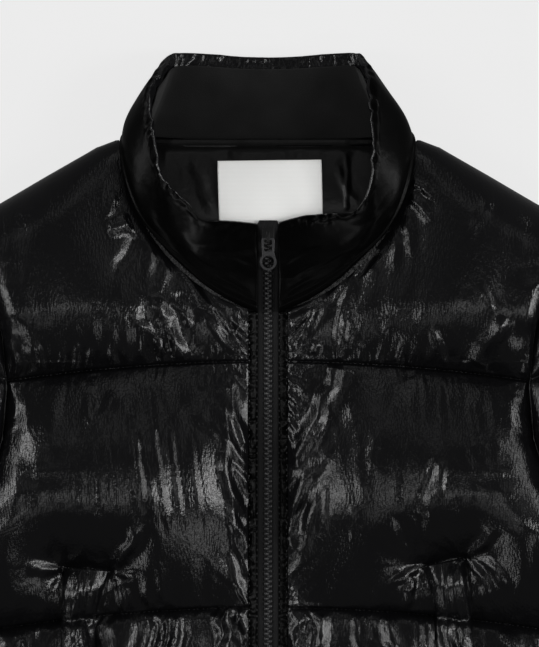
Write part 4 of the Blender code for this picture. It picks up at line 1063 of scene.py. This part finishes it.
def repeat_tree():
    """Copies one shape along a path at an even pitch, turned to follow it."""
    tree = bpy.data.node_groups.new("repeat_along_path", "GeometryNodeTree")
    face = tree.interface
    face.new_socket("Path", in_out="INPUT", socket_type="NodeSocketGeometry")
    for label, kind in (("Shape", "NodeSocketObject"), ("Pitch", "NodeSocketFloat"),
                        ("Size", "NodeSocketVector"), ("Turn", "NodeSocketFloat"),
                        ("Jitter", "NodeSocketFloat"), ("Seed", "NodeSocketInt"),
                        ("Finish", "NodeSocketMaterial")):
        face.new_socket(label, in_out="INPUT", socket_type=kind)
    face.new_socket("Copies", in_out="OUTPUT", socket_type="NodeSocketGeometry")
    given = add(tree, "NodeGroupInput")
    points = add(tree, "GeometryNodeCurveToPoints", {"mode": "LENGTH"},
                 Curve=given.outputs["Path"], Length=given.outputs["Pitch"])
    shape = add(tree, "GeometryNodeObjectInfo", {}, Object=given.outputs["Shape"])
    turned = add(tree, "ShaderNodeCombineXYZ", {}, Z=given.outputs["Turn"])
    angle = add(tree, "FunctionNodeEulerToRotation", {}, Euler=turned.outputs["Vector"])
    facing = add(tree, "FunctionNodeRotateRotation", {"rotation_space": "LOCAL"},
                 Rotation=points.outputs["Rotation"], Rotate_By=angle.outputs["Rotation"])
    placed = add(tree, "GeometryNodeInstanceOnPoints", {}, Points=points.outputs["Points"],
                 Instance=shape.outputs["Geometry"], Rotation=facing.outputs["Rotation"],
                 Scale=given.outputs["Size"])
    low = add(tree, "ShaderNodeMath", {"operation": "MULTIPLY"}, i0=given.outputs["Jitter"],
              i1=-1.0)
    random = add(tree, "FunctionNodeRandomValue", {"data_type": "FLOAT"},
                 Seed=given.outputs["Seed"])
    tree.links.new(low.outputs[0], random.inputs[2])
    tree.links.new(given.outputs["Jitter"], random.inputs[3])
    loose = add(tree, "ShaderNodeCombineXYZ", {}, X=random.outputs[1])
    swung = add(tree, "GeometryNodeRotateInstances", {}, Instances=placed.outputs["Instances"],
                Rotation=loose.outputs["Vector"])
    real = add(tree, "GeometryNodeRealizeInstances", {}, Geometry=swung.outputs["Instances"])
    done = add(tree, "GeometryNodeSetMaterial", {}, Geometry=real.outputs["Geometry"],
               Material=given.outputs["Finish"])
    out = add(tree, "NodeGroupOutput")
    tree.links.new(done.outputs["Geometry"], out.inputs["Copies"])
    return tree


def repeated(name, paths, shape, finish, pitch, size, turn, jitter, seed):
    """Paths are lists of points in metres; gives one plain mesh of all the copies."""
    curve = bpy.data.curves.new(name + "_path", "CURVE")
    curve.dimensions = "3D"
    curve.twist_mode = "Z_UP"
    for path in paths:
        spline = curve.splines.new("POLY")
        spline.points.add(len(path) - 1)
        spline.points.foreach_set("co", np.concatenate(
            [path, np.ones((len(path), 1))], axis=1).ravel())
    holder = placed(name + "_path", curve)
    modifier = holder.modifiers.new("repeat", "NODES")
    modifier.node_group = REPEAT
    values = {"Shape": shape, "Pitch": pitch * MM, "Size": size, "Turn": turn, "Jitter": jitter,
              "Seed": seed, "Finish": finish}
    for socket in REPEAT.interface.items_tree:
        if socket.in_out == "INPUT" and socket.name in values:
            modifier[socket.identifier] = values[socket.name]
    graph = bpy.context.evaluated_depsgraph_get()
    mesh = bpy.data.meshes.new_from_object(holder.evaluated_get(graph))
    bpy.data.objects.remove(holder, do_unlink=True)
    return placed(name, mesh)


def make_teeth():
    """The two rows of teeth, from the slider to the box."""
    tooth = tooth_shape()
    start, end = ZIP_TOP_DROP + 9.0, ZIP_END_DROP - 12.5
    rows = []
    for (side, name), turn, shift in zip(SIDES, (0.0, math.pi), (0.0, TOOTH_PITCH / 2)):
        ends = np.array([start + shift, end + shift - TOOTH_PITCH / 2])
        rows.append(repeated("teeth_" + name, [world(side * 0.05, ends, ZIP_HEIGHT + 0.2)],
                             tooth, FINISH["teeth"], TOOTH_PITCH, size=(1, 1, 1), turn=turn,
                             jitter=0.09, seed=11))
    return rows


def make_stitches(quilt_seams):
    """Every row of thread that shows, one spindle to a stitch."""
    drops = np.linspace(NECK_DEPTH + 2.0, THREAD_END_DROP, 400)
    strip_edges = [world(side * (STRIP_OUTER - 0.5), drops, ZIP_HEIGHT + 3.6)
                   for side, _ in SIDES]
    tape_edges = [world(side * (STRIP_INNER + 0.1), drops, ZIP_HEIGHT + 1.1)
                  for side, _ in SIDES]
    skin, _ = collar_skin(300, ((0.115, 5.0), (0.125, 5.0)), 3)
    welt_tops = []
    for side, _ in SIDES:
        (ax, ay), (bx, by) = WELT_TOP[side]
        share = np.linspace(0.03, 0.97, 30)
        x, drop = ax + (bx - ax) * share, ay + (by - ay) * share + 1.2
        welt_tops.append(world(x, drop, front_height(x, drop, side) + 4.6))
    stitch = stitch_shape()
    shape = bmesh.new()
    # paths, pitch, (thickness, thickness, length), turn, jitter, seed
    for name, paths, pitch, size, turn, jitter, seed in (
            ("quilt_thread", quilt_seams, 3.4, (0.45, 0.45, 2.2), 0.0, 0.25, 3),
            ("strip_thread", strip_edges, 4.4, (0.8, 0.8, 1.9), 0.3, 0.5, 5),
            ("tape_thread", tape_edges, 4.6, (0.8, 0.8, 1.6), 0.0, 0.3, 6),
            ("neck_thread", [skin[4:-4, 1]], 3.4, (0.5, 0.4, 2.5), 0.0, 0.1, 7),
            ("welt_thread", welt_tops, 2.6, (0.7, 0.7, 1.8), 0.0, 0.1, 9)):
        row = repeated(name, paths, stitch, FINISH["thread"], pitch,
                       size=tuple(length * MM for length in size), turn=turn, jitter=jitter,
                       seed=seed)
        shape.from_mesh(row.data)
        bpy.data.objects.remove(row, do_unlink=True)
    return placed("thread_stitches", mesh_of(shape, "thread_stitches"))


def softened(node):
    """The same casting with its edges rounded, as it comes out of the mould."""
    shape = bmesh.new()
    shape.from_mesh(frame["nodes"][node].data)
    bmesh.ops.remove_doubles(shape, verts=shape.verts[:], dist=1.0e-6)
    bmesh.ops.dissolve_limit(shape, angle_limit=math.radians(2.0), verts=shape.verts[:],
                             edges=shape.edges[:])
    sharp = [e for e in shape.edges if e.calc_face_angle(0.0) > math.radians(35.0)]
    bmesh.ops.bevel(shape, geom=sharp, offset=0.32 * MM, segments=3, profile=0.5,
                    affect="EDGES", clamp_overlap=True)
    return placed(node + "_cast", mesh_of(shape, node + "_cast"))


# ------------------------------------------------------------------ pocket welts

def make_welt(side, name, rows=130):
    """Folded strip of shell cloth, creased along its length."""
    t = np.linspace(0.0, 1.0, rows)[:, None]
    share = np.linspace(0.0, 1.0, 30)[None, :]
    out, inn = spline_through(WELT_OUT[side], rows), spline_through(WELT_IN[side], rows)
    x = out[:, :1] * (1 - share) + inn[:, :1] * share
    d = out[:, 1:] * (1 - share) + inn[:, 1:] * share
    base = front_height(x, d, side)
    across = np.hypot(x - x[:, :1], d - d[:, :1])
    fullness = rounded(2.4 * np.minimum(share, 1 - share))
    z = base + 1.2 + 8.0 * fullness * (0.3 + 0.7 * smooth(t / 0.12))
    wander = 0.5 * noise(d / 22.0, share * 2.0, 2)
    z += (4.2 * ridges(across / 11.0 + wander, d / 55.0, 3 if side < 0 else 5)
          + 2.2 * ridges(across / 4.8 + wander, d / 30.0, 5)) * fullness
    z += (1.4 * ridges((across + 0.8 * d) / 9.0, d / 26.0, 1) * fullness
          * np.exp(-((t - 0.35) / 0.2) ** 2))
    return tidy_mesh(grid_mesh("welt_" + name, world(x, d, z), world(x, d, base - 1.0)))


# ------------------------------------------------------------------ materials

def colour(code):
    """sRGB hex to the linear numbers a shader takes."""
    channels = [int(code[i:i + 2], 16) / 255.0 for i in (1, 3, 5)]
    linear = [c / 12.92 if c <= 0.04045 else ((c + 0.055) / 1.055) ** 2.4 for c in channels]
    return (*linear, 1.0)


def add(tree, kind, settings=None, **links):
    """Adds a node.  links give its inputs by name, or by place as i0, i1 and so on, each a
    plain value or another node's output."""
    node = tree.nodes.new(kind)
    for key, value in (settings or {}).items():
        setattr(node, key, value)
    for key, value in links.items():
        socket = node.inputs[int(key[1:])] if key[0] == "i" and key[1:].isdigit() \
            else node.inputs[key.replace("_", " ")]
        if isinstance(value, bpy.types.NodeSocket):
            tree.links.new(value, socket)
        else:
            socket.default_value = value
    return node


def new_finish(name, base, roughness, **shader_values):
    """A material, its tree and shader, and the place in the jacket that patterns read.
    A pattern's Scale is cells to the metre, and a wave's bands are 0.31 m / Scale apart, or
    0.44 m / Scale on the diagonal."""
    material = bpy.data.materials.new(name)
    material.use_nodes = True
    tree = material.node_tree
    shader = tree.nodes["Principled BSDF"]
    shader.inputs["Base Color"].default_value = colour(base)
    shader.inputs["Roughness"].default_value = roughness
    for key, value in shader_values.items():
        shader.inputs[key.replace("_", " ")].default_value = value
    place = add(tree, "ShaderNodeTexCoord").outputs["Object"]
    return material, tree, shader, place


def crinkled_nylon():
    """Cire-finished nylon taffeta, calendered glossy and crinkled in the wash: black, with
    broken highlights along fine creases that mostly run down the garment."""
    material, tree, shader, place = new_finish("cire_nylon_crinkled", "#080809", 0.18,
                                               IOR=1.5, Specular_IOR_Level=0.23)
    long_way = add(tree, "ShaderNodeMapping", {}, Vector=place, Scale=(1.0, 0.3, 0.6))
    warp = add(tree, "ShaderNodeTexNoise", {}, Vector=place, Scale=70.0, Detail=2.0)
    bent = add(tree, "ShaderNodeVectorMath", {"operation": "MULTIPLY_ADD"},
               i0=warp.outputs["Color"], i1=(0.002, 0.002, 0.002),
               i2=long_way.outputs["Vector"])
    # crinkles 3.4 mm and 1.3 mm apart; the weave is far finer on the real cloth, and is
    # drawn 0.8 mm apart, as coarse as it needs to be to show
    broad = add(tree, "ShaderNodeTexNoise", {"noise_dimensions": "3D"},
                Vector=bent.outputs[0], Scale=290.0, Detail=2.0, Roughness=0.5)
    fine = add(tree, "ShaderNodeTexVoronoi", {"feature": "SMOOTH_F1"},
               Vector=bent.outputs[0], Scale=760.0, Smoothness=0.5)
    grain = add(tree, "ShaderNodeTexNoise", {}, Vector=place, Scale=1250.0, Detail=1.0)
    first = add(tree, "ShaderNodeBump", {}, Strength=0.09, Distance=0.0010,
                Height=broad.outputs["Fac"])
    second = add(tree, "ShaderNodeBump", {}, Strength=0.34, Distance=0.0005,
                 Height=fine.outputs["Distance"], Normal=first.outputs["Normal"])
    third = add(tree, "ShaderNodeBump", {}, Strength=0.36, Distance=0.0003,
                Height=grain.outputs["Fac"], Normal=second.outputs["Normal"])
    tree.links.new(third.outputs["Normal"], shader.inputs["Normal"])
    patch = add(tree, "ShaderNodeTexNoise", {}, Vector=place, Scale=26.0, Detail=3.0)
    rough = add(tree, "ShaderNodeMapRange", {}, Value=patch.outputs["Fac"], i1=0.3, i2=0.7,
                i3=0.12, i4=0.2)
    tree.links.new(rough.outputs["Result"], shader.inputs["Roughness"])
    return material


def shaded_taut_nylon():
    """The same nylon where the padded collar pulls it taut: smoother, and painted darker than the
    shell nylon as shade.
    """
    # painted shade: base #020202, darker than the shell's #080809, with a weaker reflection,
    # stands for the shade on the collar's outside and on the strips beside the zip
    material, tree, shader, place = new_finish("cire_nylon_taut_painted_shade", "#020202", 0.3,
                                               IOR=1.5, Specular_IOR_Level=0.03)
    # slow waves 8 mm apart, and the weave drawn coarse at 0.8 mm as on the crinkled cloth
    slow = add(tree, "ShaderNodeTexNoise", {}, Vector=place, Scale=120.0, Detail=2.0)
    grain = add(tree, "ShaderNodeTexNoise", {}, Vector=place, Scale=1250.0, Detail=1.0)
    first = add(tree, "ShaderNodeBump", {}, Strength=0.25, Distance=0.0010,
                Height=slow.outputs["Fac"])
    second = add(tree, "ShaderNodeBump", {}, Strength=0.2, Distance=0.0002,
                 Height=grain.outputs["Fac"], Normal=first.outputs["Normal"])
    tree.links.new(second.outputs["Normal"], shader.inputs["Normal"])
    return material


def lining_taffeta():
    """Woven taffeta lining: soft sheen, finer and flatter than the shell."""
    material, tree, shader, place = new_finish("taffeta_lining", "#090909", 0.36, IOR=1.5,
                                               Specular_IOR_Level=0.2)
    # crinkles 4 mm apart
    crinkle = add(tree, "ShaderNodeTexNoise", {}, Vector=place, Scale=240.0, Detail=3.0)
    bump = add(tree, "ShaderNodeBump", {}, Strength=0.4, Distance=0.0008,
               Height=crinkle.outputs["Fac"])
    tree.links.new(bump.outputs["Normal"], shader.inputs["Normal"])
    return material


def brushed_tricot():
    """Brushed polyester tricot: short matt nap that scatters light, no gloss."""
    material, tree, shader, place = new_finish(
        "brushed_tricot", "#131313", 0.95, Sheen_Weight=0.2, Sheen_Roughness=0.5,
        Specular_IOR_Level=0.1)
    shader.inputs["Sheen Tint"].default_value = colour("#9a9a9a")
    # nap in 0.9 mm tufts, coarser than real so that it shows; 22 mm clouds of tone
    nap = add(tree, "ShaderNodeTexNoise", {}, Vector=place, Scale=1100.0, Detail=3.0)
    cloud = add(tree, "ShaderNodeTexNoise", {}, Vector=place, Scale=45.0, Detail=4.0)
    mixed = add(tree, "ShaderNodeMath", {"operation": "MULTIPLY_ADD"},
                i0=cloud.outputs["Fac"], i1=0.5, i2=nap.outputs["Fac"])
    tone = add(tree, "ShaderNodeValToRGB", {}, Fac=cloud.outputs["Fac"])
    tone.color_ramp.elements[0].position = 0.3
    tone.color_ramp.elements[0].color = colour("#101010")
    tone.color_ramp.elements[1].position = 0.7
    tone.color_ramp.elements[1].color = colour("#171717")
    bump = add(tree, "ShaderNodeBump", {}, Strength=0.6, Distance=0.0004,
               Height=mixed.outputs[0])
    tree.links.new(tone.outputs["Color"], shader.inputs["Base Color"])
    tree.links.new(bump.outputs["Normal"], shader.inputs["Normal"])
    return material


def satin_label():
    """White damask label weave: fine ribs, soft satin face."""
    material, tree, shader, place = new_finish("white_damask_label", "#f0f0ee", 0.75,
                                               Sheen_Weight=0.1)
    # ribs 1 mm and 0.75 mm apart, coarser than the real weave so that they show
    weft = add(tree, "ShaderNodeTexWave", {"bands_direction": "Y"}, Vector=place, Scale=320.0,
               Distortion=0.6, Detail=1.0)
    warp = add(tree, "ShaderNodeTexWave", {"bands_direction": "X"}, Vector=place, Scale=420.0,
               Distortion=0.4, Detail=1.0)
    weave = add(tree, "ShaderNodeMath", {"operation": "MULTIPLY"}, i0=weft.outputs["Fac"],
                i1=warp.outputs["Fac"])
    tone = add(tree, "ShaderNodeValToRGB", {}, Fac=weave.outputs[0])
    tone.color_ramp.elements[0].color = colour("#e3e3e1")
    tone.color_ramp.elements[1].color = colour("#f6f6f4")
    bump = add(tree, "ShaderNodeBump", {}, Strength=0.25, Distance=0.0002,
               Height=weave.outputs[0])
    tree.links.new(tone.outputs["Color"], shader.inputs["Base Color"])
    tree.links.new(bump.outputs["Normal"], shader.inputs["Normal"])
    return material


def zip_tape_weave():
    """Woven polyester zip tape: matt, with slanting ribs 1.3 mm apart."""
    material, tree, shader, place = new_finish("woven_zip_tape", "#0a0a0b", 0.82,
                                               Specular_IOR_Level=0.25)
    ribs = add(tree, "ShaderNodeTexWave", {"bands_direction": "DIAGONAL"}, Vector=place,
               Scale=330.0, Distortion=0.8, Detail=1.0)
    bump = add(tree, "ShaderNodeBump", {}, Strength=0.36, Distance=0.0003,
               Height=ribs.outputs["Fac"])
    tree.links.new(bump.outputs["Normal"], shader.inputs["Normal"])
    return material


def moulded_acetal():
    """Injection-moulded black acetal teeth: smooth with a dull shine."""
    material, tree, shader, place = new_finish("moulded_acetal", "#161617", 0.42, IOR=1.48,
                                               Specular_IOR_Level=0.36)
    # mould texture 1.1 mm apart
    grain = add(tree, "ShaderNodeTexNoise", {}, Vector=place, Scale=900.0, Detail=2.0)
    bump = add(tree, "ShaderNodeBump", {}, Strength=0.15, Distance=0.0001,
               Height=grain.outputs["Fac"])
    tree.links.new(bump.outputs["Normal"], shader.inputs["Normal"])
    return material


def black_enamel():
    """Die-cast zinc slider body under black enamel: a dull shine, orange peel 1.4 mm apart."""
    material, tree, shader, place = new_finish("black_enamelled_zinc", "#080808", 0.4,
                                               IOR=1.5, Specular_IOR_Level=0.15)
    peel = add(tree, "ShaderNodeTexNoise", {}, Vector=place, Scale=700.0, Detail=1.0)
    bump = add(tree, "ShaderNodeBump", {}, Strength=0.1, Distance=0.0001,
               Height=peel.outputs["Fac"])
    tree.links.new(bump.outputs["Normal"], shader.inputs["Normal"])
    return material


def enamelled_zinc():
    """Die-cast zinc under dark grey enamel with the same orange peel; its colour is lighter on
    sharp convex edges and darker on flats and in hollows."""
    material, tree, shader, place = new_finish("enamelled_zinc", "#37373a", 0.45, IOR=1.5,
                                               Specular_IOR_Level=0.3)
    edge_sharpness = add(tree, "ShaderNodeNewGeometry")
    # colour from pointiness: lighter on convex edges, darker on flats and in hollows
    tone = add(tree, "ShaderNodeValToRGB", {}, Fac=edge_sharpness.outputs["Pointiness"])
    tone.color_ramp.elements[0].position = 0.5
    tone.color_ramp.elements[0].color = colour("#161617")
    tone.color_ramp.elements[1].position = 0.6
    tone.color_ramp.elements[1].color = colour("#303032")
    tree.links.new(tone.outputs["Color"], shader.inputs["Base Color"])
    peel = add(tree, "ShaderNodeTexNoise", {}, Vector=place, Scale=700.0, Detail=1.0)
    bump = add(tree, "ShaderNodeBump", {}, Strength=0.1, Distance=0.0001,
               Height=peel.outputs["Fac"])
    tree.links.new(bump.outputs["Normal"], shader.inputs["Normal"])
    return material


def spun_thread():
    """Spun polyester sewing thread: black, dull, with a faint twist every 0.4 mm."""
    material, tree, shader, place = new_finish("spun_polyester_thread", "#141415", 0.45,
                                               Specular_IOR_Level=0.4)
    twist = add(tree, "ShaderNodeTexNoise", {}, Vector=place, Scale=2500.0, Detail=1.0)
    bump = add(tree, "ShaderNodeBump", {}, Strength=0.3, Distance=0.0001,
               Height=twist.outputs["Fac"])
    tree.links.new(bump.outputs["Normal"], shader.inputs["Normal"])
    return material


def light_table():
    """Opal acrylic light table, lit from below so that the cloth throws hardly a shadow."""
    return new_finish("opal_light_table", "#4a4a4a", 0.95, Specular_IOR_Level=0.0,
                      Emission_Color=WHITE, Emission_Strength=TABLE_GLOW)[0]


FINISH = {"shell": crinkled_nylon(), "collar": shaded_taut_nylon(), "lining": lining_taffeta(),
          "facing": brushed_tricot(), "label": satin_label(), "tape": zip_tape_weave(),
          "teeth": moulded_acetal(), "slider": black_enamel(), "pull": enamelled_zinc(),
          "thread": spun_thread()}
REPEAT = repeat_tree()


def settle(item, finish, body, nodes):
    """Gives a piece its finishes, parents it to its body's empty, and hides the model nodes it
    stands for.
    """
    if item.data.materials:
        item.data.materials.clear()
    for name in finish.split():
        item.data.materials.append(FINISH[name])
    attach(item, body)
    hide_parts(*nodes)
    return item


# ------------------------------------------------------------------ light, camera and floor

# Softboxes on a dome round the jacket: degrees down from straight above, degrees round
# from the right sleeve towards the collar, and watts
LAMP_AWAY, LAMP_SIZE, LAMP_AIM = 2.4, 0.6, Vector((0.0, 0.1, 0.05))
LAMPS = ((0, 0, 4.2), (22, 240, 1.6), (44, 0, 22.5), (44, 45, 1.0), (44, 90, 0.8), (44, 135, 0.7),
         (44, 180, 11.0), (44, 315, 5.0), (66, 0, 14.0), (66, 25, 6.0), (66, 90, 1.2),
         (66, 152, 14.0), (66, 180, 10.0), (66, 225, 6.0), (84, 0, 17.0), (84, 36, 10.0),
         (84, 145, 7.0), (84, 180, 11.0))
WHITE = (1.0, 1.0, 1.0, 1.0)
ROOM_LIGHT, TABLE_GLOW = 0.14, 0.757
# The camera looks straight down and takes in SEEN_LENGTH metres at SEEN_LEVEL over the floor
LENS, SENSOR_HEIGHT = 190.0, 24.0
SEEN_LENGTH, SEEN_LEVEL, CAMERA_X, CAMERA_Y = 0.4917, 0.06, 0.0011, 0.1545
TABLE_SIZE, TABLE_LEVEL = 6.0, -0.0006


def make_studio():
    bpy.ops.mesh.primitive_plane_add(size=TABLE_SIZE, location=(0.0, 0.0, TABLE_LEVEL))
    floor = bpy.context.object
    floor.name = "studio_floor"
    floor.data.materials.append(light_table())
    floor.visible_glossy = False
    world_light = bpy.data.worlds.new("studio")
    world_light.use_nodes = True
    background = world_light.node_tree.nodes["Background"]
    background.inputs["Color"].default_value = WHITE
    background.inputs["Strength"].default_value = ROOM_LIGHT
    bpy.context.scene.world = world_light

    for tilt, turn, watts in LAMPS:
        tilt, turn = math.radians(tilt), math.radians(turn)
        away = Vector((math.sin(tilt) * math.cos(turn), math.sin(tilt) * math.sin(turn),
                       math.cos(tilt)))
        light = bpy.data.lights.new("softbox", "AREA")
        light.shape = "RECTANGLE"
        light.size = light.size_y = LAMP_SIZE
        light.energy = watts
        lamp = placed("softbox", light)
        lamp.location = LAMP_AIM + LAMP_AWAY * away
        lamp.rotation_euler = (lamp.location - LAMP_AIM).to_track_quat("Z", "Y").to_euler()
        lamp.visible_camera = False

    camera = bpy.data.cameras.new("camera")
    camera.sensor_fit = "VERTICAL"
    camera.sensor_height = SENSOR_HEIGHT
    camera.lens = LENS
    camera.clip_start, camera.clip_end = 0.05, 50.0
    holder = placed("camera", camera)
    holder.location = (CAMERA_X, CAMERA_Y, SEEN_LEVEL + SEEN_LENGTH * LENS / SENSOR_HEIGHT)
    bpy.context.scene.camera = holder
    bpy.context.scene.view_settings.view_transform = "Standard"


# ------------------------------------------------------------------ the jacket

def make_jacket():
    quilt_seams = []
    for side, name in SIDES:
        front, seams = make_front(side, "front_puffs_" + name)
        quilt_seams += seams
        settle(front, "shell", "jacket", ["front_" + name])
        upper, under = make_sleeve(side, name)
        settle(upper, "shell", "jacket", ["sleeve_upper_" + name])
        settle(under, "shell", "jacket", ["sleeve_under_" + name])
        cuff = settle(make_cuff(side, name), "shell", "jacket", ["cuff_" + name])
        # the strips take the collar's nylon copy, painted darker as shade
        strip = settle(make_edge_strip(side, name), "collar", "jacket",
                       ["edge_strip_" + name])
        tape = settle(make_tape(side, name), "tape", "jacket", ["zip_tape_" + name])
        welt = settle(make_welt(side, name), "shell", "jacket",
                      ["pocket_welt_" + name])
    back = settle(make_back(), "shell", "jacket", ["back_panel"])
    collar = settle(make_collar(), "collar shell", "jacket", ["collar"])
    facing = settle(make_facing(), "facing", "jacket", ["collar_facing"])
    lining = settle(make_lining(), "lining", "jacket", ["neck_lining"])
    label = settle(make_label(), "label", "jacket", ["neck_label"])
    settle(make_stitches(quilt_seams), "thread", "jacket",
           ["front_left", "front_right"])
    for teeth in make_teeth():
        settle(teeth, "teeth", "jacket", ["zip_chain"])
    for node, body, finish, slot in (("zip_slider", "jacket", "slider", "zip_pull"),
                                     ("zip_pull", "pull_tab", "pull", "zip_pull"),
                                     ("zip_box", "jacket", "teeth", "zip_teeth")):
        settle(softened(node), finish, body, [node])


make_studio()
make_jacket()
